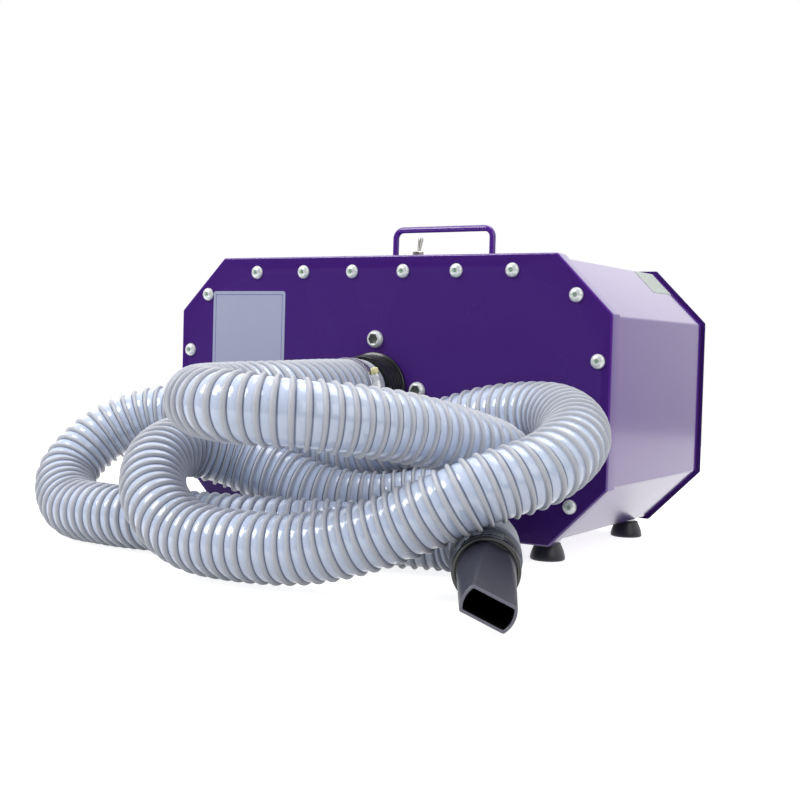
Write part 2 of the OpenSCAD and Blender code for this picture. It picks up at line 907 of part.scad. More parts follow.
function route_point(i) =
    i < 0 ? 2 * hose_points[0] - hose_points[1] :
    i > hose_last ? 2 * hose_points[hose_last] - hose_points[hose_last - 1] : hose_points[i];
function spline(a, b, c, d, t) =
    0.5 * (2 * b + (c - a) * t + (2 * a - 5 * b + 4 * c - d) * t * t
           + (3 * b - a - 3 * c + d) * t * t * t);
function route_at(s) =
    let (i = min(floor(s), hose_last - 1))
    spline(route_point(i - 1), route_point(i), route_point(i + 1), route_point(i + 2), s - i);
function unit(v) = v / norm(v);
function route_dir(s) =
    unit(route_at(min(s + 0.01, hose_last)) - route_at(max(s - 0.01, 0)));

// Arc length table of the route, so that the ribs are evenly spaced along it
steps_per_span = 6;
route_samples = [for (k = [0:hose_last * steps_per_span]) route_at(k / steps_per_span)];
function running_sum(points, i = 1, total = 0, found = [0]) =
    i >= len(points) ? found :
    let (next = total + norm(points[i] - points[i - 1]))
    running_sum(points, i + 1, next, concat(found, [next]));
route_lengths = running_sum(route_samples);
hose_length = route_lengths[len(route_lengths) - 1];
function route_param(length) =
    lookup(length, [for (k = [0:len(route_lengths) - 1]) [route_lengths[k], k / steps_per_span]]);

function hose_ring(length, r) =
    let (s = route_param(length), centre = route_at(s), along = route_dir(s),
         across = unit(cross(along, [0, 0, 1])), over = cross(across, along))
    [for (j = [0:hose_sides - 1])
        let (a = (j + 0.5) * 360 / hose_sides)
        centre + r * (cos(a) * across + sin(a) * over)];

// Rings of points joined into a closed tube with a bore
outer_rings = 2 * hose_ribs + 1;
inner_rings = hose_ribs + 1;
outer_points = [for (k = [0:outer_rings - 1])
    each hose_ring(k * hose_length / (outer_rings - 1), k % 2 == 0 ? hose_r - rib_depth : hose_r)];
inner_points = [for (k = [0:inner_rings - 1])
    each hose_ring(k * hose_length / (inner_rings - 1), hose_bore_r)];
function band_faces(first, rings, flip) = [
    for (k = [0:rings - 2], j = [0:hose_sides - 1])
        let (a = first + k * hose_sides + j, b = first + k * hose_sides + (j + 1) % hose_sides,
             c = b + hose_sides, d = a + hose_sides)
        each (flip ? [[a, b, c], [a, c, d]] : [[a, c, b], [a, d, c]])];
function end_faces(outer, inner, flip) = [
    for (j = [0:hose_sides - 1])
        let (a = outer + j, b = outer + (j + 1) % hose_sides,
             c = inner + (j + 1) % hose_sides, d = inner + j)
        each (flip ? [[a, b, c], [a, c, d]] : [[a, c, b], [a, d, c]])];
inner_first = outer_rings * hose_sides;

module hose() {
    color(hose_grey)
        polyhedron(
            points = concat(outer_points, inner_points),
            faces = concat(
                band_faces(0, outer_rings, false),
                band_faces(inner_first, inner_rings, true),
                end_faces(0, inner_first, true),
                end_faces((outer_rings - 1) * hose_sides,
                          inner_first + (inner_rings - 1) * hose_sides, false)));
}

// Least gap between stretches of the hose that are not neighbours along it
gap_step = 18;
neighbour_len = 115;
gap_points = [for (l = [0:gap_step:hose_length]) route_at(route_param(l))];
near_stretch = ceil(neighbour_len / gap_step);
hose_gap = min([for (i = [0:len(gap_points) - 1 - near_stretch])
    for (j = [i + near_stretch:len(gap_points) - 1])
        norm(gap_points[i] - gap_points[j])]) - 2 * hose_r;
echo(hose_length = hose_length, hose_gap = hose_gap);

clamp_band_r = hose_r + clamp_gap + clamp_t;
clamp_bore_r = 2.6;

module clamp_band() {
    box = [8, 9, 15];
    color(zinc)
        translate([0, 0, outlet_z])
            difference() {
                union() {
                    rod_y(0, 0, clamp_y - clamp_w / 2, clamp_y + clamp_w / 2, clamp_band_r);
                    rotate([0, -clamp_box_angle, 0])
                        translate([clamp_band_r - 2, clamp_y - box[1] / 2, -box[2] / 2])
                            cube(box);
                }
                rod_y(0, 0, clamp_y - clamp_w, clamp_y + clamp_w, hose_r + clamp_gap);
                rotate([0, -clamp_box_angle, 0])
                    translate([clamp_band_r + clamp_bore_r, clamp_y, -box[2]])
                        cylinder(h = 2 * box[2], r = clamp_bore_r);
            }
}

module clamp_screw() {
    tail_len = 11;
    neck_len = 8;
    color([0.78, 0.72, 0.42])
        translate([0, 0, outlet_z])
            rotate([0, -clamp_box_angle, 0])
                translate([clamp_band_r + clamp_bore_r, clamp_y, 0]) {
                    translate([0, 0, -tail_len])
                        cylinder(h = tail_len + neck_len, r = clamp_bore_r - 0.1);
                    translate([0, 0, neck_len])
                        cylinder(h = 6, r = 4.2, $fn = 6);
                }
}

// Frame of the hose's far end: Z runs out of it
end_at = hose_points[hose_last];
end_dir = unit(hose_points[hose_last] - hose_points[hose_last - 1]);
module at_hose_end() {
    translate(end_at)
        rotate([0, 0, atan2(end_dir[1], end_dir[0])])
            rotate([0, acos(end_dir[2]), 0])
                children();
}

cuff_len = 34;
cuff_r = 27.5;
cuff_sleeve = 38;
cuff_wall = 1.9;
swivel_gap = 0.1;

// Cuff at the hose's end: a plug inside the hose and a thicker sleeve past it
module swivel_cuff() {
    color(black)
        at_hose_end()
            difference() {
                union() {
                    translate([0, 0, -cuff_len])
                        cylinder(h = cuff_len, r = spigot_r);
                    cylinder(h = cuff_sleeve, r = cuff_r);
                }
                translate([0, 0, -cuff_len - 1])
                    cylinder(h = cuff_len + cuff_sleeve + 2, r = spigot_r - cuff_wall);
            }
}

nozzle_root_r = 23.3;
nozzle_tip_r = 20.3;
nozzle_len = 112;
flat_root = 21.6;
flat_tip = 10.7;
mouth_roll = 26;
nozzle_wall = 2.3;
nozzle_tail = 22;
nozzle_tail_r = spigot_r - cuff_wall - swivel_gap;
nozzle_bore_r = nozzle_tail_r - 1.9;

// Tapering round body cut flat on two sides, both drawn in by `inset`, over the run z0 to z1
module flattened_cone(inset, z0, z1) {
    reach = nozzle_root_r + 5;
    slope = (flat_root - flat_tip) / nozzle_len;
    taper = (nozzle_root_r - nozzle_tip_r) / nozzle_len;
    intersection() {
        translate([0, 0, z0])
            cylinder(h = z1 - z0, r1 = nozzle_root_r - taper * z0 - inset,
                     r2 = nozzle_root_r - taper * z1 - inset);
        rotate([0, 0, 90 - mouth_roll])
            rotate([90, 0, 90])
                linear_extrude(2 * reach, center = true)
                    polygon([[inset + slope * z0 - flat_root, z0], [flat_root - slope * z0 - inset, z0],
                             [flat_root - slope * z1 - inset, z1], [inset + slope * z1 - flat_root, z1]]);
    }
}

module air_nozzle() {
    base = cuff_sleeve + 0.2;
    color([0.27, 0.27, 0.34])
        at_hose_end()
            translate([0, 0, base])
                difference() {
                    union() {
                        translate([0, 0, -nozzle_tail])
                            cylinder(h = nozzle_tail + 1, r = nozzle_tail_r);
                        flattened_cone(0, 0, nozzle_len);
                    }
                    translate([0, 0, -nozzle_tail - 1])
                        cylinder(h = nozzle_tail + 3, r = nozzle_bore_r);
                    flattened_cone(nozzle_wall, 1.5, nozzle_len + 1);
                }
}

front_lid();
body_shell();
rear_cover();
front_gasket();
rear_gasket();
lid_screws();
rear_screws();
rivet_nuts();
label_plate();
blank_sticker();
carry_handle();
handle_collars();
handle_nuts();
switch_body();
switch_terminals();
switch_nuts();
toggle_lever();
outlet_collar();
outlet_duct();
outlet_screws();
outlet_nuts();
motor_plate();
plate_screws();
intake_filter();
filter_tray();
cable_gland();
gland_nut();
terminal_block();
wiring();
feet();
foot_washers();
foot_screws();
foot_nuts();
mount_ring(-1);  // left_mount_ring
fan_housing(-1);  // left_fan_housing
impeller(-1);  // left_impeller
motor_shaft(-1);  // left_shaft
armature(-1);  // left_armature
commutator(-1);  // left_commutator
stator(-1);  // left_stator
field_coils(-1);  // left_field_coils
bearings(-1);  // left_bearings
end_bracket(-1);  // left_end_bracket
brushes(-1);  // left_brushes
mount_ring(1);  // right_mount_ring
fan_housing(1);  // right_fan_housing
impeller(1);  // right_impeller
motor_shaft(1);  // right_shaft
armature(1);  // right_armature
commutator(1);  // right_commutator
stator(1);  // right_stator
field_coils(1);  // right_field_coils
bearings(1);  // right_bearings
end_bracket(1);  // right_end_bracket
brushes(1);  // right_brushes
hose();
clamp_band();
clamp_screw();
swivel_cuff();
air_nozzle();
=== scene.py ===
import math

import bmesh
import bpy
import numpy as np
from mathutils import Matrix, Vector


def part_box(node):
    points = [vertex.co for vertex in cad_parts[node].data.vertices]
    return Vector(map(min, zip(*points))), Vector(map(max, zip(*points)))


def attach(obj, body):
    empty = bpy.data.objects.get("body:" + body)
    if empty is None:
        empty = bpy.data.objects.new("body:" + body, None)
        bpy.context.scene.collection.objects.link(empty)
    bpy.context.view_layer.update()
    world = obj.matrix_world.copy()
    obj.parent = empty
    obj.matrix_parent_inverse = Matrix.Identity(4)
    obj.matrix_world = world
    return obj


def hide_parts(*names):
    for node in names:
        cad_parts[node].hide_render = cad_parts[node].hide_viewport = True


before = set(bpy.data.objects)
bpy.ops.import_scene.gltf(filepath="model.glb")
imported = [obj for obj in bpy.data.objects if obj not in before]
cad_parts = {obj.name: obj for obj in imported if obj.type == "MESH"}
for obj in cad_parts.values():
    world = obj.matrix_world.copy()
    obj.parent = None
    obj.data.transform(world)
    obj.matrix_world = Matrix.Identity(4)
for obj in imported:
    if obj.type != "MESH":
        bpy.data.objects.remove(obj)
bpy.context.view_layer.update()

scene = bpy.context.scene
MM = 0.001


# ---------------- camera

CAMERA_AT = (0.6927, -1.2390, 0.1976)
CAMERA_YAW = 30.94
CAMERA_PITCH = -2.20
CAMERA_ROLL = 1.55
FOCAL_PIXELS = 1286.6
IMAGE_PIXELS = 800
SENSOR_WIDTH = 36


def make_camera():
    data = bpy.data.cameras.new("camera")
    data.sensor_width = SENSOR_WIDTH
    data.lens = SENSOR_WIDTH * FOCAL_PIXELS / IMAGE_PIXELS
    data.clip_start = 0.02
    camera = bpy.data.objects.new("camera", data)
    scene.collection.objects.link(camera)
    turn = (Matrix.Rotation(math.radians(CAMERA_YAW), 4, "Z")
            @ Matrix.Rotation(math.radians(90 + CAMERA_PITCH), 4, "X")
            @ Matrix.Rotation(math.radians(CAMERA_ROLL), 4, "Z"))
    camera.matrix_world = Matrix.Translation(CAMERA_AT) @ turn
    scene.camera = camera


make_camera()


# ---------------- materials

def linear(red, green, blue):
    """A colour given as it looks, 0 to 255, as the shader's own numbers."""
    values = [c / 255 for c in (red, green, blue)]
    return [c / 12.92 if c <= 0.04045 else ((c + 0.055) / 1.055) ** 2.4 for c in values] + [1.0]


def map_range(nodes, link, source, **sockets):
    """A socket's value carried from one range to another."""
    node = nodes.new("ShaderNodeMapRange")
    for name, value in sockets.items():
        node.inputs[name.replace("_", " ")].default_value = value
    link(source, node.inputs["Value"])
    return node.outputs["Result"]


def noise(nodes, link, mapping, scale, detail):
    node = nodes.new("ShaderNodeTexNoise")
    node.inputs["Scale"].default_value = scale
    node.inputs["Detail"].default_value = detail
    link(mapping.outputs["Vector"], node.inputs["Vector"])
    return node.outputs["Fac"]


def mix_shaders(nodes, link, share, first, second):
    node = nodes.new("ShaderNodeMixShader")
    for socket, source in zip(node.inputs, (share, first.outputs[0], second.outputs[0])):
        link(source, socket)
    return node


def surface(name, colour, roughness, metallic=0.0, shade=0.06, patch=30, uneven=0.06,
            grain=0.0, grain_size=900, stretch=(1, 1, 1), wear=0.0, **sockets):
    """A procedural material: patchy colour and roughness, fine grain as bump, and worn edges."""
    material = bpy.data.materials.new(name)
    material.use_nodes = True
    nodes = material.node_tree.nodes
    link = material.node_tree.links.new
    shader = nodes["Principled BSDF"]
    shader.inputs["Metallic"].default_value = metallic
    for socket, value in sockets.items():
        shader.inputs[socket.replace("_", " ")].default_value = value

    place = nodes.new("ShaderNodeTexCoord")
    mapping = nodes.new("ShaderNodeMapping")
    mapping.inputs["Scale"].default_value = stretch
    link(place.outputs["Object"], mapping.inputs["Vector"])
    patches = noise(nodes, link, mapping, patch, 5)

    tint = nodes.new("ShaderNodeMix")
    tint.data_type = "RGBA"
    tint.inputs["A"].default_value = [c * (1 - shade) for c in colour[:3]] + [1]
    tint.inputs["B"].default_value = [min(1, c * (1 + shade)) for c in colour[:3]] + [1]
    link(patches, tint.inputs["Factor"])
    coloured = tint.outputs["Result"]
    if wear > 0:
        edges = nodes.new("ShaderNodeNewGeometry")
        sharp = map_range(nodes, link, edges.outputs["Pointiness"],
                          From_Min=0.52, From_Max=0.62, To_Max=wear)
        worn = nodes.new("ShaderNodeMix")
        worn.data_type = "RGBA"
        worn.inputs["B"].default_value = [min(1, c * 1.6 + 0.08) for c in colour[:3]] + [1]
        link(sharp, worn.inputs["Factor"])
        link(coloured, worn.inputs["A"])
        coloured = worn.outputs["Result"]
    link(coloured, shader.inputs["Base Color"])

    rough = map_range(nodes, link, patches,
                      To_Min=max(0.02, roughness - uneven), To_Max=roughness + uneven)
    link(rough, shader.inputs["Roughness"])

    if grain > 0:
        bump = nodes.new("ShaderNodeBump")
        bump.inputs["Strength"].default_value = grain
        bump.inputs["Distance"].default_value = 0.2 * MM
        link(noise(nodes, link, mapping, grain_size, 3), bump.inputs["Height"])
        link(bump.outputs["Normal"], shader.inputs["Normal"])
    return material


PAINT = surface("purple_paint", linear(60, 22, 110), 0.26, patch=9, shade=0.05, grain=0.05,
                grain_size=420, wear=0.12, Specular_IOR_Level=0.15)
# A glossier copy of the same purple paint. Its base is painted lighter than the lid's, as painted
# light on the side panels, handle and lid rim.
GLOSS_PAINT_LIT = surface("purple_gloss_painted_light", linear(82, 25, 140), 0.16, patch=7, shade=0.05, grain=0.04,
                      grain_size=420, wear=0.12, Coat_Weight=0.5, Coat_Roughness=0.12)
# Painted shade: a darker copy of the purple paint for the rear cover's rim, standing in for the
# shade on that edge.
COVER_EDGE_SHADE = surface("purple_edge_painted_shade", linear(30, 14, 52), 0.4, patch=9, shade=0.05, grain=0.05,
                     grain_size=420, Specular_IOR_Level=0.15)
HOSE_WALL = surface("hose_wall", linear(198, 211, 236), 0.16, patch=45, shade=0.05, grain=0.14,
                    grain_size=260, Subsurface_Weight=0.15, Subsurface_Scale=0.01,
                    Subsurface_Radius=(1.0, 1.0, 1.0), Coat_Weight=0.7, Coat_Roughness=0.06)
HOSE_RIB = surface("hose_rib", linear(186, 189, 198), 0.36, patch=90, shade=0.06, grain=0.10,
                   grain_size=1400)
# Painted shade: a darker blue-grey for the groove beside each rib, standing in for the rib's shadow
# on the wall.
HOSE_RIB_SHADE = surface("hose_rib_shade", linear(118, 127, 152), 0.3, patch=120, shade=0.12)
NOZZLE = surface("nozzle_plastic", linear(39, 39, 53), 0.4, patch=40, shade=0.07, grain=0.22,
                 grain_size=1600, wear=0.3, Specular_IOR_Level=0.3)
# The nozzle's mouth rim, in a lighter grey than its body.
NOZZLE_RIM = surface("nozzle_rim_lighter", linear(104, 104, 118), 0.4, patch=60, shade=0.1, grain=0.2,
                     grain_size=1600)
BLACK = surface("black_plastic", linear(24, 24, 29), 0.22, patch=60, shade=0.1, grain=0.12,
                grain_size=1500, wear=0.12, Coat_Weight=0.4, Coat_Roughness=0.1)
# Painted shade: the nozzle's inside is darker and without gloss, standing in for the shade inside
# the bore.
BORE_SHADE = surface("nozzle_bore_painted_shade", linear(22, 22, 26), 0.9, patch=60, shade=0.1, Specular_IOR_Level=0.0)
# Painted shade: darker grey-green for the hexagon sockets of the outlet bolts and the small screws,
# standing in for the shade in the recesses.
BOLT_SOCKET_SHADE = surface("bolt_socket_shade", linear(104, 112, 106), 0.5, patch=200, shade=0.15)
SMALL_RECESS_SHADE = surface("small_recess_shade", linear(196, 214, 200), 0.5, patch=200, shade=0.15)
RUBBER = surface("rubber", linear(32, 33, 42), 0.36, patch=70, shade=0.12, grain=0.2,
                 grain_size=1300, wear=0.15)
ZINC = surface("bright_zinc", linear(226, 229, 229), 0.3, metallic=0.35, patch=160, shade=0.05,
               grain=0.03, grain_size=1200)
SWITCH_METAL = surface("switch_metal", linear(186, 184, 178), 0.3, metallic=0.9, patch=160,
                       shade=0.08, grain=0.03, grain_size=1200)
YELLOW_ZINC = surface("yellow_zinc", linear(212, 208, 160), 0.3, metallic=0.4, patch=160,
                      shade=0.1, grain=0.03, grain_size=1200)
BAND = surface("clamp_steel", linear(186, 186, 196), 0.24, metallic=0.85, patch=30, shade=0.08,
               grain=0.1, grain_size=900, stretch=(1, 12, 1))
LABEL = surface("label_face", linear(160, 165, 191), 0.34, patch=14, shade=0.05, grain=0.06,
                grain_size=500)
PRINT = surface("label_print", linear(92, 84, 150), 0.34, patch=80, shade=0.08)
STICKER = surface("sticker_paper", linear(180, 189, 182), 0.5, patch=60, shade=0.04, grain=0.1,
                  grain_size=900)
SHEET_STEEL = surface("sheet_steel", linear(168, 168, 172), 0.34, metallic=0.9, patch=25,
                      shade=0.08, grain=0.15, grain_size=700, stretch=(1, 1, 9))
GROUND_STEEL = surface("ground_steel", linear(190, 190, 194), 0.2, metallic=1.0, patch=60,
                       shade=0.06, grain=0.1, grain_size=1600, stretch=(1, 8, 1))
ALLOY = surface("cast_alloy", linear(186, 188, 192), 0.44, metallic=0.85, patch=50, shade=0.08,
                grain=0.4, grain_size=900)
BRASS = surface("brass", linear(196, 164, 92), 0.3, metallic=0.95, patch=80, shade=0.1,
                grain=0.08, grain_size=1500)
COPPER = surface("copper", linear(184, 106, 62), 0.36, metallic=0.85, patch=90, shade=0.14,
                 grain=0.25, grain_size=1200, stretch=(1, 6, 1))
FOAM = surface("filter_foam", linear(52, 52, 56), 0.9, patch=120, shade=0.3, grain=0.9,
               grain_size=450)
CREAM = surface("terminal_plastic", linear(220, 216, 200), 0.4, patch=60, shade=0.05, grain=0.12,
                grain_size=1200)
WIRE = surface("wire_blue", linear(34, 44, 120), 0.35, patch=120, shade=0.1)

NODE_MATERIALS = {
    PAINT: ["front_lid", "rear_cover"],
    GLOSS_PAINT_LIT: ["body_shell", "carry_handle"],
    RUBBER: ["front_gasket", "rear_gasket", "feet", "left_mount_ring", "right_mount_ring"],
    ZINC: ["lid_screws", "rear_screws", "handle_collars", "handle_nuts", "switch_nuts",
           "toggle_lever", "outlet_screws", "outlet_nuts", "plate_screws", "foot_washers",
           "foot_screws", "foot_nuts"],
    BAND: ["clamp_band"],
    YELLOW_ZINC: ["clamp_screw"],
    BRASS: ["rivet_nuts", "switch_terminals", "left_brushes", "right_brushes"],
    LABEL: ["label_plate"],
    STICKER: ["blank_sticker"],
    BLACK: ["switch_body", "outlet_collar", "cable_gland", "gland_nut", "swivel_cuff"],
    SHEET_STEEL: ["outlet_duct", "motor_plate", "filter_tray", "left_stator", "right_stator"],
    FOAM: ["intake_filter"],
    CREAM: ["terminal_block"],
    WIRE: ["wiring"],
    ALLOY: ["left_fan_housing", "right_fan_housing", "left_impeller", "right_impeller",
            "left_end_bracket", "right_end_bracket"],
    GROUND_STEEL: ["left_shaft", "right_shaft", "left_bearings", "right_bearings"],
    COPPER: ["left_armature", "right_armature", "left_commutator", "right_commutator",
             "left_field_coils", "right_field_coils"],
    HOSE_RIB: ["hose"],
    NOZZLE: ["air_nozzle"],
}
for material, names in NODE_MATERIALS.items():
    for name in names:
        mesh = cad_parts[name].data
        mesh.materials.clear()
        mesh.materials.append(material)


# ---------------- mesh helpers

class Shape:
    """Points and faces gathered for one piece, which build() turns into an object."""

    def __init__(self):
        self.points = []
        self.faces = []
        self.slots = []

    def add(self, points, faces, slot=0):
        first = len(self.points)
        self.points.extend(tuple(p) for p in points)
        self.faces.extend(tuple(first + i for i in face) for face in faces)
        self.slots.extend([slot] * len(faces))

    def rings(self, rings, slot=0, closed=False, caps=False):
        """Rings of as many points each, joined one to the next."""
        sides = len(rings[0])
        count = len(rings)
        faces = []
        for k in range(count if closed else count - 1):
            a, b = k * sides, ((k + 1) % count) * sides
            for j in range(sides):
                n = (j + 1) % sides
                faces.append((a + j, a + n, b + n, b + j))
        if caps:
            faces.append(tuple(range(sides))[::-1])
            faces.append(tuple((count - 1) * sides + j for j in range(sides)))
        self.add([p for ring in rings for p in ring], faces, slot)

    def lathe(self, place, profile, sides=48, slot=0, closed=False, caps=True):
        """A profile of (radius, height) turned round Z of `place`. A third number above 0
        draws that ring in towards a hexagon."""
        rings = []
        for row in profile:
            radius, height = row[0], row[1]
            hexed = row[2] if len(row) > 2 else 0
            ring = []
            for j in range(sides):
                angle = 2 * math.pi * j / sides
                flat = math.cos(math.pi / 6) / math.cos((angle % (math.pi / 3)) - math.pi / 6)
                r = radius * (1 - hexed + hexed * flat)
                ring.append(place @ Vector((r * math.cos(angle), r * math.sin(angle), height)))
            rings.append(ring)
        self.rings(rings, slot, closed, caps and not closed)

    def build(self, name, materials, body, replaces=(), smooth=32):
        mesh = bpy.data.meshes.new(name)
        mesh.from_pydata(self.points, [], self.faces)
        for material in materials:
            mesh.materials.append(material)
        mesh.polygons.foreach_set("material_index", self.slots)
        model = bmesh.new()
        model.from_mesh(mesh)
        bmesh.ops.remove_doubles(model, verts=model.verts, dist=1e-6)
        bmesh.ops.dissolve_degenerate(model, edges=model.edges, dist=1e-7)
        bmesh.ops.recalc_face_normals(model, faces=model.faces)
        model.to_mesh(mesh)
        model.free()
        mesh.polygons.foreach_set("use_smooth", [True] * len(mesh.polygons))
        mesh.set_sharp_from_angle(angle=math.radians(smooth))
        piece = bpy.data.objects.new(name, mesh)
        scene.collection.objects.link(piece)
        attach(piece, body)
        if replaces:
            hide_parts(*replaces)
        return piece


def along(at, direction):
    """A frame at a point, with Z along the direction."""
    return Matrix.Translation(at) @ Vector(direction).to_track_quat("Z", "Y").to_matrix().to_4x4()


def arc(centre, radius, start, end, steps):
    """(radius, height) points of an arc, angles in degrees."""
    return [(centre[0] + radius * math.cos(math.radians(a)),
             centre[1] + radius * math.sin(math.radians(a)))
            for a in np.linspace(start, end, steps)]


# ---------------- hose

HOSE_ROUTE = [
    (0, -0.158, 0.158), (0, -0.222, 0.158), (-0.005, -0.285, 0.156), (-0.020, -0.342, 0.154),
    (-0.008, -0.398, 0.152), (0.038, -0.427, 0.150), (0.088, -0.417, 0.147), (0.127, -0.385, 0.142),
    (0.157, -0.340, 0.135), (0.181, -0.290, 0.123), (0.195, -0.243, 0.109), (0.184, -0.206, 0.090),
    (0.147, -0.186, 0.075), (0.098, -0.191, 0.061), (0.050, -0.208, 0.053), (0, -0.224, 0.058),
    (-0.050, -0.234, 0.074), (-0.092, -0.252, 0.090), (-0.114, -0.292, 0.101),
    (-0.102, -0.344, 0.088), (-0.068, -0.382, 0.060), (-0.018, -0.397, 0.037),
    (0.045, -0.398, 0.033), (0.105, -0.386, 0.037), (0.165, -0.368, 0.056), (0.226, -0.346, 0.0865),
    (0.267, -0.302, 0.107), (0.267, -0.242, 0.129), (0.220, -0.185, 0.143), (0.150, -0.168, 0.138),
    (0.082, -0.168, 0.118), (0.010, -0.168, 0.096), (-0.060, -0.172, 0.104),
    (-0.130, -0.180, 0.118), (-0.190, -0.192, 0.125), (-0.238, -0.210, 0.120),
    (-0.274, -0.241, 0.096), (-0.281, -0.279, 0.061), (-0.244, -0.308, 0.035),
    (-0.190, -0.319, 0.032), (-0.130, -0.319, 0.032), (-0.060, -0.307, 0.032),
    (0.005, -0.292, 0.032), (0.060, -0.268, 0.032), (0.108, -0.249, 0.032), (0.150, -0.236, 0.032),
    (0.184, -0.247, 0.0325), (0.2088, -0.2877, 0.0328), (0.2248, -0.3177, 0.0306)
]
HOSE_RADIUS = 0.030
RIB_HEIGHT = 2.7 * MM
RIB_PITCH = 11 * MM
BORE_RADIUS = 0.0255
STEPS_PER_SPAN = 40


def hose_path():
    """Closely spaced points of the hose's axis, and the length run at each."""
    points = [Vector(p) for p in HOSE_ROUTE]
    points = [2 * points[0] - points[1]] + points + [2 * points[-1] - points[-2]]
    path = []
    for i in range(1, len(points) - 2):
        a, b, c, d = points[i - 1:i + 3]
        for k in range(STEPS_PER_SPAN):
            t = k / STEPS_PER_SPAN
            path.append(0.5 * (2 * b + (c - a) * t + (2 * a - 5 * b + 4 * c - d) * t * t
                               + (3 * b - a - 3 * c + d) * t ** 3))
    path.append(points[-2])
    path = np.array(path)
    run = np.concatenate([[0], np.cumsum(np.linalg.norm(np.diff(path, axis=0), axis=1))])
    return path, run


PATH, RUN = hose_path()
HOSE_LENGTH = float(RUN[-1])
TANGENTS = np.gradient(PATH, RUN, axis=0)
TANGENTS /= np.linalg.norm(TANGENTS, axis=1)[:, None]
ACROSS = np.cross(TANGENTS, [0, 0, 1])
ACROSS /= np.linalg.norm(ACROSS, axis=1)[:, None]
OVER = np.cross(ACROSS, TANGENTS)


def at_run(table, run):
    return np.stack([np.interp(run, RUN, table[:, i]) for i in range(3)], axis=-1)


def tube_points(run, angle, radius):
    """Points of the hose's surface at those lengths, angles and radii."""
    return (at_run(PATH, run)
            + (radius * np.cos(angle))[..., None] * at_run(ACROSS, run)
            + (radius * np.sin(angle))[..., None] * at_run(OVER, run))


# One pitch of the wall, as (share of the pitch, height over the wall as a share of the rib).
# A rib is a rounded bead with a groove beside it, painted darker as the rib's painted shade, and
# the wall bulges a little between ribs.
RIB_PROFILE = [(-0.20, 0.0), (-0.185, 0.42), (-0.14, 0.83), (-0.07, 0.98), (0.01, 0.98),
               (0.08, 0.80), (0.13, 0.40), (0.15, -0.06), (0.20, -0.10), (0.26, 0.0),
               (0.38, 0.07), (0.50, 0.10), (0.64, 0.07), (0.74, 0.0)]
RIB_TOP = max(height for _, height in RIB_PROFILE)
RIB_ROWS = range(0, 7)
# The rows of the groove beside each rib, which take the painted shade.
RIB_SHADE_ROWS = (7, 8)
TURN_SIDES = 40


def make_hose():
    """The hose's skin, one rib wound along it as a helix, its bore and its two end faces."""
    turns = int(HOSE_LENGTH / RIB_PITCH)
    pitch = HOSE_LENGTH / turns
    columns = (turns + 2) * TURN_SIDES
    angle = np.arange(columns) * 2 * math.pi / TURN_SIDES
    wall_radius = HOSE_RADIUS - RIB_HEIGHT
    rows = []
    for share, height in RIB_PROFILE:
        run = (angle / (2 * math.pi) - 1 + share) * pitch
        rows.append(tube_points(np.clip(run, 0, HOSE_LENGTH), -angle,
                                np.full(columns, wall_radius + RIB_HEIGHT * height)))
    points = np.stack(rows, axis=1).reshape(-1, 3)
    per_column = len(RIB_PROFILE)
    faces = []
    slots = []
    for c in range(columns - 1):
        for r in range(per_column):
            a, b = c * per_column + r, (c + 1) * per_column + r
            if r < per_column - 1:
                face = (a, b, b + 1, a + 1)
            elif c + 1 + TURN_SIDES < columns:
                up = (c + TURN_SIDES) * per_column
                face = (a, b, up + per_column, up)
            else:
                continue
            faces.append(face)
            # Slot 2 is the painted shade in the groove beside the rib.
            slots.append(2 if r in RIB_SHADE_ROWS else 1 if r in RIB_ROWS else 0)
    shape = Shape()
    shape.points = [tuple(p) for p in points]
    shape.faces = faces
    shape.slots = slots
    bore_run = np.linspace(0, HOSE_LENGTH, 2 * turns)
    bore_angle = np.linspace(0, 2 * math.pi, TURN_SIDES, endpoint=False)
    grid_run, grid_angle = np.meshgrid(bore_run, bore_angle, indexing="ij")
    bore = tube_points(grid_run, grid_angle, np.full(grid_run.shape, BORE_RADIUS))
    shape.rings([list(map(tuple, ring)) for ring in bore])
    for run in (0.0, HOSE_LENGTH):
        rim = [tube_points(np.full(TURN_SIDES, run), bore_angle, np.full(TURN_SIDES, radius))
               for radius in (BORE_RADIUS, wall_radius + RIB_HEIGHT * RIB_TOP)]
        shape.rings([list(map(tuple, ring)) for ring in rim])
    return shape.build("ribbed_hose", [HOSE_WALL, HOSE_RIB, HOSE_RIB_SHADE], "cabinet",
                       replaces=["hose"], smooth=50)


hose = make_hose()


# ---------------- cabinet

LID_LOW, LID_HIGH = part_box("front_lid")
COVER_LOW, COVER_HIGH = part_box("rear_cover")
SHELL_LOW, SHELL_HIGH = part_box("body_shell")
LID_W = LID_HIGH.x - LID_LOW.x
LID_H = LID_HIGH.z - LID_LOW.z
LID_Z = (LID_HIGH.z + LID_LOW.z) / 2
LID_CORNER = 0.057
SHEET = 1.5 * MM
LAP = SHELL_LOW.x - LID_LOW.x
OUTLET = Vector((0, LID_LOW.y, 0.158))
CORNER_SCREW = (0.2176, 0.0985)
SIDE_SCREW = (LID_W / 2 - 0.013, 0.0375)
SCREW_ROW = LID_H / 2 - 0.016
LID_PITCH = 0.0605
COVER_PITCH = 0.121
LID_SCREWS = ([((i - 2.5) * LID_PITCH, s * SCREW_ROW) for s in (1, -1) for i in range(6)]
              + [(sx * x, sz * z) for x, z in (CORNER_SCREW, SIDE_SCREW)
                 for sx in (-1, 1) for sz in (-1, 1)])
COVER_SCREWS = ([(i * COVER_PITCH, s * SCREW_ROW) for s in (1, -1) for i in (-1, 0, 1)]
                + [(sx * CORNER_SCREW[0], sz * CORNER_SCREW[1])
                   for sx in (-1, 1) for sz in (-1, 1)]
                + [(sx * SIDE_SCREW[0], 0) for sx in (-1, 1)])
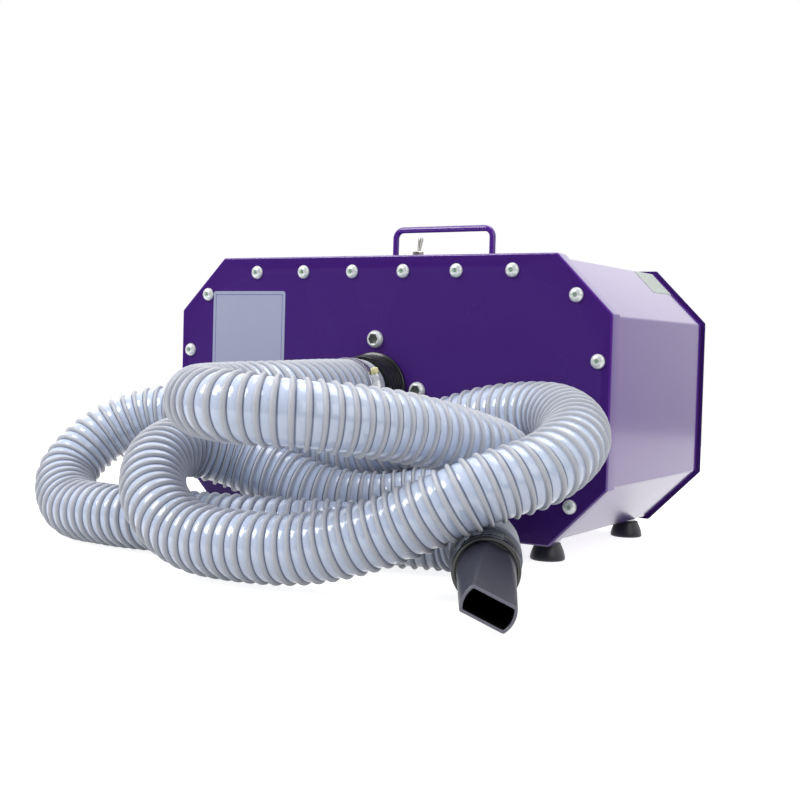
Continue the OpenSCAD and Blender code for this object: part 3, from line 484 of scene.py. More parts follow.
BOLT_CIRCLE = 0.0505
BOLTS = [(BOLT_CIRCLE * math.cos(a), OUTLET.z + BOLT_CIRCLE * math.sin(a))
         for a in np.arange(4) * math.pi / 2]
SCREW_HOLE_R = 4.45 * MM
BOLT_HOLE_R = 5.4 * MM
OUTLET_HOLE_R = 24.4 * MM
FOLD = 3 * MM
SHELL_FOLD = 4 * MM
LID_EDGE = 1.8 * MM
COVER_ROUND = 0.8 * MM
FLANGE = 24 * MM
FOLD_STEPS = 6
LOUVRE_X = 0.115
LOUVRE_PITCH = 0.012
LOUVRE_W = 0.005
LOUVRE_H = 0.092
GLAND_LOW, GLAND_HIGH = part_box("cable_gland")
GLAND_X = (GLAND_LOW.x + GLAND_HIGH.x) / 2
GLAND_Z = (GLAND_LOW.z + GLAND_HIGH.z) / 2
GLAND_HOLE_R = 10.1 * MM


def outline(inset, fold):
    """The cabinet's eight-sided outline drawn in by `inset`, its folds rounded, as (x, z)."""
    w, h = LID_W / 2 - inset, LID_H / 2 - inset
    c = LID_CORNER - (2 - math.sqrt(2)) * inset
    corners = [(w - c, -h), (w, -h + c), (w, h - c), (w - c, h),
               (-w + c, h), (-w, h - c), (-w, -h + c), (-w + c, -h)]
    points = []
    for k, (x, z) in enumerate(corners):
        bisector = math.radians(-67.5 + 45 * k)
        reach = fold / math.cos(math.radians(22.5))
        cx, cz = x - reach * math.cos(bisector), z - reach * math.sin(bisector)
        for a in np.linspace(-90 + 45 * k, -45 + 45 * k, FOLD_STEPS):
            points.append((cx + fold * math.cos(math.radians(a)),
                           cz + fold * math.sin(math.radians(a)) + LID_Z))
    return points


def outline_ring(inset, fold, y):
    return [(x, y, z) for x, z in outline(inset, fold)]


def circle(x, z, radius, sides=32):
    return [(x + radius * math.cos(2 * math.pi * j / sides),
             z + radius * math.sin(2 * math.pi * j / sides)) for j in range(sides)]


def louvre(x):
    """A louvre slot with round ends, as (x, z)."""
    r = LOUVRE_W / 2
    rise = LOUVRE_H / 2 - r
    return [(x + r * math.cos(a), LID_Z + centre + r * math.sin(a))
            for centre, start in ((rise, 0), (-rise, math.pi))
            for a in np.linspace(start, start + math.pi, 7)]


def add_panel(shape, edge, holes, y, back_y, back_edge):
    """A flat panel with holes: both faces and the walls of the holes."""
    for level, border in ((y, edge), (back_y, back_edge)):
        model = bmesh.new()
        edges = []
        for loop in [border] + holes:
            verts = [model.verts.new((x, level, z)) for x, z in loop]
            edges += [model.edges.new((verts[i], verts[(i + 1) % len(verts)]))
                      for i in range(len(verts))]
        bmesh.ops.triangle_fill(model, use_beauty=True, use_dissolve=False, edges=edges)
        model.verts.index_update()
        shape.add([v.co for v in model.verts], [[v.index for v in f.verts] for f in model.faces])
        model.free()
    for loop in holes:
        shape.rings([[(x, level, z) for x, z in loop] for level in (y, back_y)])


def make_lid():
    """The front lid: a flat face with its rim folded back all round."""
    front, back = LID_LOW.y, LID_HIGH.y
    shape = Shape()
    # The rim and its rounded front edge take slot 1, the glossy paint whose lighter base is painted
    # light.
    outer = [outline_ring(0, FOLD, back), outline_ring(0, FOLD, front + LID_EDGE)]
    shape.rings(outer, 1)
    shape.rings([outline_ring(LID_EDGE * (1 - math.cos(a)), FOLD,
                              front + LID_EDGE * (1 - math.sin(a)))
                 for a in np.linspace(0, math.pi / 2, 7)], 1)
    inner = [outline_ring(SHEET, FOLD, front + SHEET), outline_ring(SHEET, FOLD, back)]
    shape.rings(inner)
    shape.rings([inner[1], outer[0]])
    holes = [circle(x, LID_Z + z, SCREW_HOLE_R, 24) for x, z in LID_SCREWS]
    holes.append(circle(OUTLET.x, OUTLET.z, OUTLET_HOLE_R, 64))
    holes += [circle(x, z, BOLT_HOLE_R) for x, z in BOLTS]
    add_panel(shape, outline(LID_EDGE, FOLD), holes, front, front + SHEET, outline(SHEET, FOLD))
    shape.build("lid_panel", [PAINT, GLOSS_PAINT_LIT], "cabinet", ["front_lid"],
                smooth=25)


def make_shell():
    """The wrap of the body: eight sides folded from one sheet, with inward flanges."""
    front, back = SHELL_LOW.y, SHELL_HIGH.y
    section = [(LAP, front), (LAP, back), (LAP + FLANGE, back), (LAP + FLANGE, back - SHEET),
               (LAP + SHEET, back - SHEET), (LAP + SHEET, front + SHEET),
               (LAP + FLANGE, front + SHEET), (LAP + FLANGE, front)]
    shape = Shape()
    shape.rings([outline_ring(inset, SHELL_FOLD, y) for inset, y in section], closed=True)
    shape.build("shell_wrap", [GLOSS_PAINT_LIT], "cabinet", ["body_shell"], smooth=25)


def make_cover():
    """The rear cover with its two fields of louvre slots."""
    front, back = COVER_LOW.y, COVER_HIGH.y
    rounded = [(0, front), (0, back - COVER_ROUND)]
    rounded += [(COVER_ROUND * (1 - math.cos(a)), back - COVER_ROUND * (1 - math.sin(a)))
                for a in np.linspace(0, math.pi / 2, 5)[1:]]
    shape = Shape()
    # The rim and its rounded back edge take slot 1, the darker purple of painted shade.
    shape.rings([outline_ring(inset, FOLD, y) for inset, y in rounded], 1)
    holes = [circle(x, LID_Z + z, SCREW_HOLE_R, 24) for x, z in COVER_SCREWS]
    holes += [louvre(side * LOUVRE_X + i * LOUVRE_PITCH) for side in (-1, 1) for i in range(-4, 5)]
    holes.append(circle(GLAND_X, GLAND_Z, GLAND_HOLE_R))
    add_panel(shape, outline(0, FOLD), holes, front, back, outline(COVER_ROUND, FOLD))
    shape.build("cover_panel", [PAINT, COVER_EDGE_SHADE], "cabinet", ["rear_cover"],
                smooth=25)


make_lid()
make_shell()
make_cover()


# ---------------- screws

SMALL_SCREW = {"head_r": 7 * MM, "head_h": 4.4 * MM, "socket_r": 2.4 * MM,
               "shank_r": 3.95 * MM, "length": 18 * MM}
OUTLET_BOLT = {"head_r": 9 * MM, "head_h": 5.4 * MM, "socket_r": 5.6 * MM,
               "shank_r": 4.95 * MM, "length": 20 * MM}
TURN_PER_METRE = 40


def add_button_screw(shape, place, head_r, head_h, socket_r, shank_r, length):
    """A domed head with a hexagon socket, and its shank. Z of `place` points out of the head."""
    rim = 0.16 * head_h
    profile = [(0, -length), (shank_r * 0.8, -length), (shank_r, -length + shank_r * 0.3),
               (shank_r, 0), (head_r * 0.97, 0), (head_r, rim * 0.4)]
    flat_at = socket_r * 1.12
    top = math.acos(flat_at / head_r)
    scale = (head_h - rim) / math.sin(top)
    profile += [(head_r * math.cos(a), rim + scale * math.sin(a)) for a in np.linspace(0, top, 9)]
    mouth = (socket_r, head_h - 0.25 * MM, 1)
    profile += [(socket_r * 1.03, head_h, 0.6), mouth]
    shape.lathe(place, profile, caps=False)
    # The socket's walls and floor take slot 1, a darker grey-green as painted shade in the recess.
    floor = 0.38 * head_h
    socket = [mouth, (socket_r, floor, 1), (0, floor - socket_r * 0.3, 1)]
    shape.lathe(place, socket, slot=1, caps=False)


def make_small_screws(name, node, spots, y, facing):
    """The button screws of one panel, each turned by an angle set by its x."""
    shape = Shape()
    for x, z in spots:
        turn = Matrix.Rotation(x * TURN_PER_METRE, 4, "Z")
        place = along((x, y, LID_Z + z), (0, facing, 0)) @ turn
        add_button_screw(shape, place, **SMALL_SCREW)
    shape.build(name, [ZINC, SMALL_RECESS_SHADE], "cabinet", [node], smooth=40)


def make_outlet_screws():
    shape = Shape()
    for x, z in BOLTS:
        add_button_screw(shape, along((x, LID_LOW.y, z), (0, -1, 0)), **OUTLET_BOLT)
    shape.build("outlet_screw_set", [ZINC, BOLT_SOCKET_SHADE], "cabinet", ["outlet_screws"],
                smooth=40)


make_small_screws("lid_screw_set", "lid_screws", LID_SCREWS, LID_LOW.y, -1)
make_small_screws("cover_screw_set", "rear_screws", COVER_SCREWS, COVER_HIGH.y, 1)
make_outlet_screws()


# ---------------- outlet and clamp

def make_collar():
    """The black outlet collar: a rounded flange, a grooved boss and the spigot in the hose."""
    place = along(OUTLET, (0, -1, 0))
    bore, spigot, flange = 21.4 * MM, 23.4 * MM, 36.9 * MM
    tail, front, end = -5.5 * MM, 23.5 * MM, 57.5 * MM
    profile = [(bore, tail), (spigot, tail), (spigot, 0), (flange, 0)]
    profile += arc((flange - 0.9 * MM, 2.5 * MM), 1.5 * MM, -60, 90, 7)
    boss, taper, pitch, groove = 35 * MM, 0.4 * MM, 5 * MM, 0.8 * MM
    for k in range(4):
        radius = boss - taper * k
        height = 4 * MM + pitch * k
        profile += [(radius, height + 0.4 * MM), (radius - 0.1 * MM, height + 3.6 * MM),
                    (radius - groove, height + 4.1 * MM), (radius - groove, height + 4.7 * MM)]
    edge = 1.3 * MM
    profile += arc((boss - 2.8 * MM, front - edge), edge, 10, 90, 5)
    profile += [(spigot, front), (spigot, end - 1 * MM), (spigot - 0.8 * MM, end), (bore, end)]
    shape = Shape()
    shape.lathe(place, profile, sides=96, closed=True)
    return shape.build("collar_moulding", [BLACK], "cabinet", ["outlet_collar"])


HOSE_END = Vector(HOSE_ROUTE[-1])
HOSE_OUT = (HOSE_END - Vector(HOSE_ROUTE[-2])).normalized()
PLUG_RADIUS = 23.4 * MM
SLEEVE = 38 * MM
NOZZLE_GAP = 0.2 * MM


def grooves(radius, heights, width, depth):
    """Profile of a cylinder with a shallow moulded groove from each of the heights on."""
    profile = []
    for at in heights:
        profile += [(radius, at), (radius - depth, at + width / 4),
                    (radius - depth, at + width * 3 / 4), (radius, at + width)]
    return profile


def make_cuff():
    """The swivel cuff: a plug in the hose, and a grooved sleeve that carries the nozzle."""
    bore, sleeve, seat = 21.5 * MM, 27.5 * MM, 24.5 * MM
    plug_len = 34 * MM
    bevel = 0.6 * MM
    edge = 1.5 * MM
    profile = [(bore, -plug_len), (PLUG_RADIUS - bevel, -plug_len), (PLUG_RADIUS, bevel - plug_len),
               (PLUG_RADIUS, 0), (sleeve - bevel, 0), (sleeve, bevel)]
    profile += grooves(sleeve, [k * MM for k in (5, 10, 15, 20)], 2 * MM, 0.8 * MM)
    profile += grooves(sleeve, [27 * MM], 4 * MM, 1.2 * MM)
    profile += arc((sleeve - edge, SLEEVE - edge), edge, 0, 90, 6)
    profile += [(seat, SLEEVE), (seat - bevel, SLEEVE - bevel), (bore, SLEEVE - bevel)]
    shape = Shape()
    shape.lathe(along(HOSE_END, HOSE_OUT), profile, sides=96, closed=True)
    return shape.build("cuff_moulding", [BLACK], "cabinet", ["swivel_cuff"])


def make_nozzle():
    """The nozzle: a tapering round body pressed flat on two sides towards its mouth."""
    length = 112 * MM
    root_r, tip_r = 23.3 * MM, 20.3 * MM
    root_flat, tip_flat = 21.6 * MM, 10.7 * MM
    wall = 2.3 * MM
    corner = 0.7 * MM
    edge = 0.4 * MM
    plug_r = 21.4 * MM
    plug_len = 22 * MM
    at = HOSE_END + HOSE_OUT * (SLEEVE + NOZZLE_GAP)
    side = HOSE_OUT.cross(Vector((0, 0, 1))).normalized()
    top = side.cross(HOSE_OUT)
    roll = math.radians(26)
    wide = side * -math.cos(roll) - top * math.sin(roll)
    tall = wide.cross(HOSE_OUT).normalized()

    def ring(run, radius, flat):
        """A circle cut by two flats, its corners taken off."""
        flat = min(flat, radius * 0.995)
        open_angle = math.asin(flat / radius) - corner / radius
        half = math.sqrt(radius ** 2 - flat ** 2) - corner
        quarter = [(radius * math.cos(a), radius * math.sin(a))
                   for a in np.linspace(-open_angle, open_angle, 17)]
        flank = [(x, flat) for x in np.linspace(half, -half, 15)]
        loop = quarter + flank + [(-x, -y) for x, y in quarter + flank]
        return [at + HOSE_OUT * run + wide * x + tall * y for x, y in loop]

    def section(t, inset):
        return ring(length * t, root_r + (tip_r - root_r) * t - inset,
                    root_flat + (tip_flat - root_flat) * t - inset)

    def round_ring(run, radius):
        return ring(run, radius, radius)

    steps = np.linspace(0, 1, 30)
    near_tip = 0.996
    bore_r = plug_r - 1.9 * MM
    tail = round_ring(-plug_len, bore_r)
    outside = [tail, round_ring(-plug_len, plug_r - edge), round_ring(edge - plug_len, plug_r),
               round_ring(-NOZZLE_GAP, plug_r), section(0, edge)]
    outside += [section(t, 0) for t in steps[1:-1]] + [section(near_tip, 0)]
    rim = [section(near_tip, 0), section(1, edge), section(1, wall - edge),
           section(near_tip, wall)]
    # The inside rings take slot 2, painted darker as shade in the bore.
    inside = [section(near_tip, wall)] + [section(t, wall) for t in steps[-2:0:-1]]
    inside += [round_ring(2 * MM, bore_r), tail]
    shape = Shape()
    for slot, rings in enumerate((outside, rim, inside)):
        shape.rings(rings, slot)
    return shape.build("nozzle_moulding", [NOZZLE, NOZZLE_RIM, BORE_SHADE], "nozzle",
                       ["air_nozzle"], smooth=28)


CLAMP_Y = -0.182
CLAMP_WIDTH = 12 * MM
CLAMP_TURN = math.radians(15)
BAND_IN = 30.1 * MM
BAND_OUT = 30.9 * MM
WORM_R = 2.5 * MM


def add_band(shape, middle):
    """The clamp's band, its edges rolled outwards, with slanted worm ridges round part of it."""
    half = CLAMP_WIDTH / 2
    roll = 0.4 * MM
    roll_w = 1.2 * MM
    profile = [(BAND_IN, -half), (BAND_OUT, -half), (BAND_OUT + roll, roll - half),
               (BAND_OUT + roll, roll_w - roll - half), (BAND_OUT, roll_w - half),
               (BAND_OUT, half - roll_w), (BAND_OUT + roll, half - roll_w + roll),
               (BAND_OUT + roll, half - roll), (BAND_OUT, half), (BAND_IN, half)]
    shape.lathe(along(middle, (0, -1, 0)), profile, sides=120, closed=True)
    long, slant, thin, rise = 3.4 * MM, 0.9 * MM, 0.45 * MM, 0.3 * MM
    for degrees in 18 + 4.4 * np.arange(26):
        angle = CLAMP_TURN + math.radians(degrees)
        radial = Vector((math.cos(angle), 0, math.sin(angle)))
        tangent = Vector((-math.sin(angle), 0, math.cos(angle)))
        run = Vector((0, 1, 0)) * long + tangent * slant
        loops = [[middle + radial * (BAND_OUT + lift) + (run * u + tangent * thin * v) * scale
                  for u, v in ((-1, -1), (1, -1), (1, 1), (-1, 1))]
                 for lift, scale in ((-0.1 * MM, 1), (rise, 0.8))]
        shape.rings(loops, caps=True)


def add_clamp_housing(shape, seat, centre_x):
    """The arch over the worm, its ends drawn in and a flat waist in its middle."""
    half_w = 4.6 * MM
    foot_x = BAND_OUT - 0.6 * MM
    arch = [(foot_x, -half_w), (centre_x, -half_w)]
    arch += [(centre_x + half_w * math.sin(a), -half_w * math.cos(a))
             for a in np.linspace(0.2, math.pi - 0.2, 11)]
    arch += [(centre_x, half_w), (foot_x, half_w)]
    ends = [(7.5, 0.86), (7, 1), (2, 1), (1.6, 0.96)]
    levels = [(-z, shrink) for z, shrink in ends] + ends[::-1]
    shape.rings([[seat @ Vector((centre_x + (x - centre_x) * shrink, y * shrink, z * MM))
                  for x, y in arch] for z, shrink in levels], slot=1, caps=True)


def make_clamp():
    """The worm-drive clamp: its band, the housing on it and the worm screw."""
    middle = Vector((0, CLAMP_Y, OUTLET.z))
    seat = Matrix.Translation(middle) @ Matrix.Rotation(-CLAMP_TURN, 4, "Y")
    centre_x = BAND_OUT + 2.6 * MM
    band = Shape()
    add_band(band, middle)
    add_clamp_housing(band, seat, centre_x)
    strap = band.build("clamp_strap", [BAND, ZINC], "cabinet", ["clamp_band"], smooth=35)
    tail, neck, top = -11 * MM, 8 * MM, 14 * MM
    head_r = 4.2 * MM
    bevel = 0.6 * MM
    rows = [(0, tail), (WORM_R - bevel, tail), (WORM_R, tail + bevel)]
    for k in range(3):
        z = tail + bevel + 0.9 * MM * k
        rows += [(WORM_R, z), (WORM_R - 0.4 * MM, z + 0.4 * MM), (WORM_R, z + 0.7 * MM)]
    rows += [(WORM_R, neck - 0.4 * MM), (head_r + 0.4 * MM, neck - 0.4 * MM),
             (head_r + 0.4 * MM, neck + 0.4 * MM), (head_r - 0.4 * MM, neck + bevel),
             (head_r - 0.4 * MM, neck + 1 * MM, 1), (head_r, neck + 1.4 * MM, 1),
             (head_r, top - 0.8 * MM, 1), (head_r - 0.7 * MM, top, bevel / MM), (1.2 * MM, top),
             (1.2 * MM, top - 1 * MM), (0, top - 1 * MM)]
    screw = Shape()
    screw.lathe(seat @ Matrix.Translation((centre_x, 0, 0)), rows, sides=36, caps=False)
    worm = screw.build("clamp_worm", [YELLOW_ZINC], "cabinet", ["clamp_screw"],
                       smooth=35)
    return strap, worm


collar = make_collar()
cuff = make_cuff()
nozzle = make_nozzle()
clamp_strap, clamp_worm = make_clamp()


# ---------------- switch, rings, gland

SWITCH_LOW, SWITCH_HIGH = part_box("switch_body")
SWITCH_X = (SWITCH_LOW.x + SWITCH_HIGH.x) / 2
SWITCH_Y = (SWITCH_LOW.y + SWITCH_HIGH.y) / 2
PANEL_TOP = SHELL_HIGH.z
PIVOT_Z = PANEL_TOP + 7.5 * MM
BLOCK_TOP = PANEL_TOP - 12.5 * MM
BLOCK_W = 18 * MM
BLOCK_D = 30 * MM
BUSH_R = 5.95 * MM
SEAT_R = 3.9 * MM
NUT_R = 9.2 * MM
NUT_H = 2.5 * MM
BALL_R = 3.8 * MM
LEVER_LEAN = math.radians(-13.5)
# The lever's shaft and its rounded end, as (radius, height over the pivot) in mm.
LEVER = [(1.85, 3.6), (1.8, 6), (2.05, 10), (2.5, 15), (2.85, 18.6)]
LEVER_TIP = (2.9, 20.1)


def rounded_box(width, height, radius):
    """Outline of a rectangle with round corners, as (u, v)."""
    points = []
    for k, (sx, sy) in enumerate(((1, -1), (1, 1), (-1, 1), (-1, -1))):
        for a in np.linspace(-90 + 90 * k, 90 * k, 6):
            points.append((sx * (width / 2 - radius) + radius * math.cos(math.radians(a)),
                           sy * (height / 2 - radius) + radius * math.sin(math.radians(a))))
    return points


def add_rounded_ring(shape, place, bore, radius, height, edge):
    """A flat ring with rounded outer edges, from 0 up to its height along Z of `place`."""
    profile = [(bore, 0)] + arc((radius - edge, edge), edge, -90, 0, 5)
    profile += arc((radius - edge, height - edge), edge, 0, 90, 5)
    profile += [(bore + 0.3 * MM, height), (bore, height - 0.3 * MM)]
    shape.lathe(place, profile, sides=64, closed=True)


def add_hex_nut(shape, place, bore, radius, height):
    """A hexagon nut with chamfered corners."""
    profile = [(bore, 0), (radius * 0.9, 0, 0.4), (radius, height * 0.14, 1),
               (radius, height * 0.8, 1), (radius * 0.88, height, 0.3),
               (bore + 0.5 * MM, height), (bore, height - 0.5 * MM)]
    shape.lathe(place, profile, sides=72, closed=True)


def make_switch_body():
    """The switch's block, with a step under its top, and its threaded bushing."""
    shape = Shape()
    levels = [(SWITCH_LOW.z, 1.2), (SWITCH_LOW.z + 1.2 * MM, 0), (BLOCK_TOP - 6 * MM, 0),
              (BLOCK_TOP - 5.6 * MM, 0.5), (BLOCK_TOP - 1 * MM, 0.5), (BLOCK_TOP, 1.4)]
    shape.rings([[(SWITCH_X + u, SWITCH_Y + v, z) for u, v in
                  rounded_box(BLOCK_W - 2 * inset * MM, BLOCK_D - 2 * inset * MM, 1.5 * MM)]
                 for z, inset in levels], caps=True)
    seat_floor = PIVOT_Z - 6 * MM
    bevel = 0.6 * MM
    profile = [(SEAT_R, seat_floor), (SEAT_R, SWITCH_HIGH.z - bevel),
               (SEAT_R + bevel, SWITCH_HIGH.z), (BUSH_R - 0.5 * MM, SWITCH_HIGH.z)]
    z = SWITCH_HIGH.z - bevel
    while z > BLOCK_TOP + 1 * MM:
        profile += [(BUSH_R, z), (BUSH_R, z - 0.3 * MM), (BUSH_R - 0.35 * MM, z - 0.55 * MM)]
        z -= 0.9 * MM
    profile += [(BUSH_R, BLOCK_TOP), (0, BLOCK_TOP), (0, seat_floor)]
    shape.lathe(Matrix.Translation((SWITCH_X, SWITCH_Y, 0)), profile, slot=1, caps=False)
    shape.build("switch_moulding", [BLACK, SWITCH_METAL], "cabinet",
                ["switch_body"], smooth=30)


def make_switch_nuts():
    """The nuts on the bushing, above the panel and below it."""
    shape = Shape()
    for z in (PANEL_TOP, PANEL_TOP - SHEET - NUT_H):
        add_hex_nut(shape, Matrix.Translation((SWITCH_X, SWITCH_Y, z)), BUSH_R + 0.05 * MM,
                    NUT_R, NUT_H)
    shape.build("switch_nut_set", [SWITCH_METAL], "cabinet", ["switch_nuts"], smooth=30)


def make_lever():
    """The toggle lever on its ball, as it leans at rest."""
    place = (Matrix.Translation((SWITCH_X, SWITCH_Y, PIVOT_Z))
             @ Matrix.Rotation(LEVER_LEAN, 4, "X"))
    tip_r, tip_z = LEVER_TIP
    rows = arc((0, 0), BALL_R, -90, 56, 14)
    rows += [(radius * MM, z * MM) for radius, z in LEVER]
    rows += arc((0, tip_z * MM), tip_r * MM, 5, 90, 8)
    shape = Shape()
    shape.lathe(place, rows, sides=40, caps=False)
    shape.build("toggle_bat", [SWITCH_METAL], "toggle", ["toggle_lever"], smooth=50)


def make_handle_collars():
    low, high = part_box("handle_collars")
    bore, radius = 3.55 * MM, 8 * MM
    shape = Shape()
    for x in (radius - high.x, high.x - radius):
        add_rounded_ring(shape, Matrix.Translation((x, 0, low.z)), bore, radius,
                         high.z - low.z, 1.1 * MM)
    shape.build("handle_collar_set", [PAINT], "cabinet", ["handle_collars"])


def make_foot_washers():
    low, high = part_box("foot_washers")
    bore, radius = 3.15 * MM, 9 * MM
    shape = Shape()
    for x in (low.x + radius, high.x - radius):
        for y in (low.y + radius, high.y - radius):
            add_rounded_ring(shape, Matrix.Translation((x, y, low.z)), bore, radius,
                             high.z - low.z, 0.8 * MM)
    shape.build("foot_washer_set", [ZINC], "cabinet", ["foot_washers"])


def make_gland():
    """The cable gland: a threaded body through the cover, a hexagon and a ribbed dome nut."""
    bore, thread_r, hexagon_r = 4.2 * MM, 10 * MM, 14 * MM
    inner = GLAND_LOW.y - COVER_HIGH.y
    outer = GLAND_HIGH.y - COVER_HIGH.y
    rows = [(bore, inner), (thread_r - 0.4 * MM, inner)]
    run = inner + 0.4 * MM
    while run < -3 * MM:
        rows += [(thread_r, run), (thread_r, run + 0.5 * MM),
                 (thread_r - 0.5 * MM, run + 0.9 * MM)]
        run += 1.5 * MM
    rows += [(thread_r, -2.2 * MM), (thread_r, 0), (hexagon_r - 1 * MM, 0, 0.6),
             (hexagon_r, 0.8 * MM, 1), (hexagon_r, 5.2 * MM, 1),
             (hexagon_r - 1.4 * MM, 6 * MM, 0.5)]
    run = 7 * MM
    while run < outer - 12 * MM:
        radius = 11.2 * MM - 4 * MM * run / outer
        rib = 0.8 * MM
        rows += [(radius, run), (radius, run + 2.2 * MM), (radius - rib, run + 2.7 * MM),
                 (radius - rib, run + 4 * MM)]
        run += 5 * MM
    tip_r, round_r = 7.2 * MM, 1.6 * MM
    rows += [(tip_r, outer - 3 * MM)]
    rows += arc((tip_r - round_r, outer - round_r), round_r, 0, 90, 5)
    rows += [(bore, outer)]
    shape = Shape()
    shape.lathe(along((GLAND_X, COVER_HIGH.y, GLAND_Z), (0, 1, 0)), rows, sides=72, closed=True)
    shape.build("gland_moulding", [BLACK], "cabinet", ["cable_gland"], smooth=30)


# ---------------- feet, label, handle

FOOT_R = 17 * MM
# A foot as (radius, height) in mm: its recess, its rounded skirt, its cone and its bolt hole.
FOOT = ([(7, 8), (7, 0.6), (7.6, 0), (14.5, 0)] + arc((15, 2), 2, -90, 10, 7)
        + [(16.6, 5), (15.6, 8.5), (14.2, 12), (12.9, 14.6)] + arc((11, 15.5), 1.5, 15, 90, 5)
        + [(3.15, 17), (3.15, 8)])


def make_feet():
    low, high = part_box("feet")
    profile = [(radius * MM, z * MM) for radius, z in FOOT]
    shape = Shape()
    for x in (low.x + FOOT_R, high.x - FOOT_R):
        for y in (low.y + FOOT_R, high.y - FOOT_R):
            shape.lathe(Matrix.Translation((x, y, 0)), profile, sides=64, closed=True)
    shape.build("rubber_feet", [RUBBER], "cabinet", ["feet"])


def add_plaque(shape, place, width, height, radius, thick, frame_at, frame_w):
    """A thin plate in the XY plane of `place`, with a printed line near its edge in slot 1."""
    def level(inset, z):
        return [place @ Vector((u, v, z))
                for u, v in rounded_box(width - 2 * inset, height - 2 * inset,
                                        max(radius - inset, 0.3 * MM))]
    bevel = thick * 0.4
    levels = [(0, 0), (0, thick - bevel), (bevel, thick), (frame_at, thick)]
    shape.rings([level(*row) for row in levels])
    shape.rings([level(frame_at, thick), level(frame_at + frame_w, thick)], 1)
    for face in (level(frame_at + frame_w, thick), level(0, 0)):
        shape.add(face, [range(len(face))])


def make_label():
    """The label plate, bare but for a thin border line."""
    low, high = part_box("label_plate")
    centre = ((low.x + high.x) / 2, high.y, (low.z + high.z) / 2)
    place = Matrix.Translation(centre) @ Matrix.Rotation(math.pi / 2, 4, "X")
    shape = Shape()
    add_plaque(shape, place, high.x - low.x, high.z - low.z, 3 * MM, high.y - low.y,
               3.4 * MM, 0.7 * MM)
    shape.build("label_sheet", [LABEL, PRINT], "cabinet", ["label_plate"])


def make_sticker():
    """The blank sticker on the upper right chamfer."""
    low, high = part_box("blank_sticker")
    width, sink = 32 * MM, 0.15 * MM
    centre = (low + high) / 2
    normal = Vector((1, 0, 1)).normalized()
    run = Vector((0, 1, 0))
    turn = Matrix((run, normal.cross(run), normal)).transposed().to_4x4()
    place = Matrix.Translation(centre - normal * sink) @ turn
    shape = Shape()
    add_plaque(shape, place, high.y - low.y, width, 1.5 * MM, 2 * sink, 2.2 * MM, 0.5 * MM)
    shape.build("sticker_sheet", [STICKER, LABEL], "cabinet", ["blank_sticker"])


def make_handle():
    """The carry handle, one rod bent at both ends, with its legs through the top panel."""
    low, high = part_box("carry_handle")
    rod = 3.5 * MM
    bend = 9.5 * MM
    half = high.x - rod
    top = high.z - rod
    line = [(-half, low.z), (-half, SHELL_HIGH.z), (-half, top - bend)]
    line += [(-half + bend - bend * math.cos(a), top - bend + bend * math.sin(a))
             for a in np.linspace(0, math.pi / 2, 12)[1:]]
    line += [(x, top) for x in np.linspace(-half + bend, half - bend, 9)[1:]]
    line += [(-x, z) for x, z in line[::-1] if x < -half + bend - 1e-6]
    across = Vector((0, 1, 0))
    rings = []
    for i, (x, z) in enumerate(line):
        a, b = line[max(i - 1, 0)], line[min(i + 1, len(line) - 1)]
        inward = Vector((b[0] - a[0], 0, b[1] - a[1])).normalized().cross(across)
        rings.append([Vector((x, 0, z)) + rod * (math.cos(t) * inward + math.sin(t) * across)
                      for t in np.linspace(0, 2 * math.pi, 32, endpoint=False)])
    shape = Shape()
    shape.rings(rings, caps=True)
    shape.build("handle_rod", [GLOSS_PAINT_LIT], "cabinet", ["carry_handle"], smooth=40)


make_feet()
make_switch_body()
make_switch_nuts()
make_lever()
make_handle_collars()
make_foot_washers()
make_gland()
make_label()
make_sticker()
make_handle()


# ---------------- stage and light

def ray_only(nodes, link, kinds):
    """1 for the kinds of ray named, and 0 for the others."""
    path = nodes.new("ShaderNodeLightPath")
    value = None
    for kind in kinds:
        if value is None:
            value = path.outputs[kind]
            continue
        either = nodes.new("ShaderNodeMath")
        either.operation = "MAXIMUM"
        link(value, either.inputs[0])
        link(path.outputs[kind], either.inputs[1])
        value = either.outputs[0]
    return value


def make_floor():
    """A pale floor, white to the camera but for the object's shadow."""
    size = 1.6
    mesh = bpy.data.meshes.new("floor")
    mesh.from_pydata([(-size, -size, 0), (size, -size, 0), (size, size, 0), (-size, size, 0)], [],
                     [(0, 1, 2, 3)])
    floor = bpy.data.objects.new("floor", mesh)
    scene.collection.objects.link(floor)
    material = bpy.data.materials.new("floor")
    material.use_nodes = True
    nodes = material.node_tree.nodes
    link = material.node_tree.links.new
    plain = nodes["Principled BSDF"]
    plain.inputs["Base Color"].default_value = (0.6, 0.6, 0.6, 1)
    plain.inputs["Roughness"].default_value = 1
    glow = nodes.new("ShaderNodeEmission")
    glow.inputs["Strength"].default_value = 0.85
    both = nodes.new("ShaderNodeAddShader")
    link(plain.outputs[0], both.inputs[0])
    link(glow.outputs[0], both.inputs[1])
    seen = ray_only(nodes, link, ["Is Camera Ray", "Is Glossy Ray", "Is Transmission Ray"])
    choose = mix_shaders(nodes, link, seen, plain, both)
    link(choose.outputs[0], nodes["Material Output"].inputs[0])
    mesh.materials.append(material)


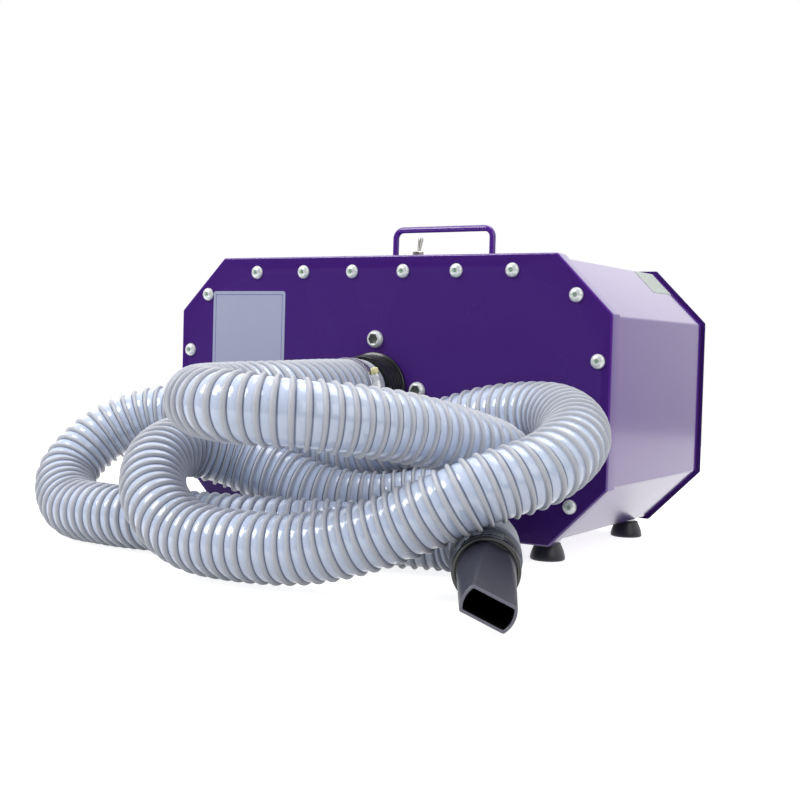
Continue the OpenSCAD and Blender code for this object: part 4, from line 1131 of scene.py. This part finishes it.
def make_world():
    """White to the camera, soft fill, and for gloss a room darker in front and brighter above."""
    world = bpy.data.worlds.new("studio")
    scene.world = world
    world.use_nodes = True
    nodes = world.node_tree.nodes
    link = world.node_tree.links.new
    place = nodes.new("ShaderNodeTexCoord")
    split = nodes.new("ShaderNodeSeparateXYZ")
    link(place.outputs["Generated"], split.inputs[0])
    room = map_range(nodes, link, split.outputs["Y"],
                     From_Min=-0.7, From_Max=0.5, To_Min=0.12, To_Max=1.2)
    rise = map_range(nodes, link, split.outputs["Z"],
                     From_Min=-0.1, From_Max=0.5, To_Min=0.8, To_Max=1.8)
    both = nodes.new("ShaderNodeMath")
    both.operation = "MULTIPLY"
    link(room, both.inputs[0])
    link(rise, both.inputs[1])
    glossy = nodes.new("ShaderNodeBackground")
    link(both.outputs[0], glossy.inputs["Strength"])
    fill = nodes["Background"]
    fill.inputs["Color"].default_value = (1, 1, 1, 1)
    fill.inputs["Strength"].default_value = 0.55
    white = nodes.new("ShaderNodeBackground")
    white.inputs["Color"].default_value = (1, 1, 1, 1)
    mirrored = ray_only(nodes, link, ["Is Glossy Ray", "Is Transmission Ray"])
    lit = mix_shaders(nodes, link, mirrored, fill, glossy)
    seen = mix_shaders(nodes, link, ray_only(nodes, link, ["Is Camera Ray"]), lit, white)
    link(seen.outputs[0], nodes["World Output"].inputs[0])


def add_lamp(name, at, target, size, power):
    data = bpy.data.lights.new(name, "AREA")
    data.shape = "RECTANGLE"
    data.size, data.size_y = size
    data.energy = power
    lamp = bpy.data.objects.new(name, data)
    scene.collection.objects.link(lamp)
    lamp.matrix_world = along(at, Vector(at) - Vector(target))


make_floor()
make_world()
add_lamp("key", (-1.3, -1.7, 1.9), (0, -0.1, 0.1), (1.2, 1.2), 38)
add_lamp("fill", (1.9, -1.2, 1.2), (0, 0, 0.1), (1.4, 1.4), 10)
add_lamp("top", (0.2, 0.4, 2.4), (0, 0, 0.1), (1.6, 1.6), 22)

scene.view_settings.view_transform = "Standard"
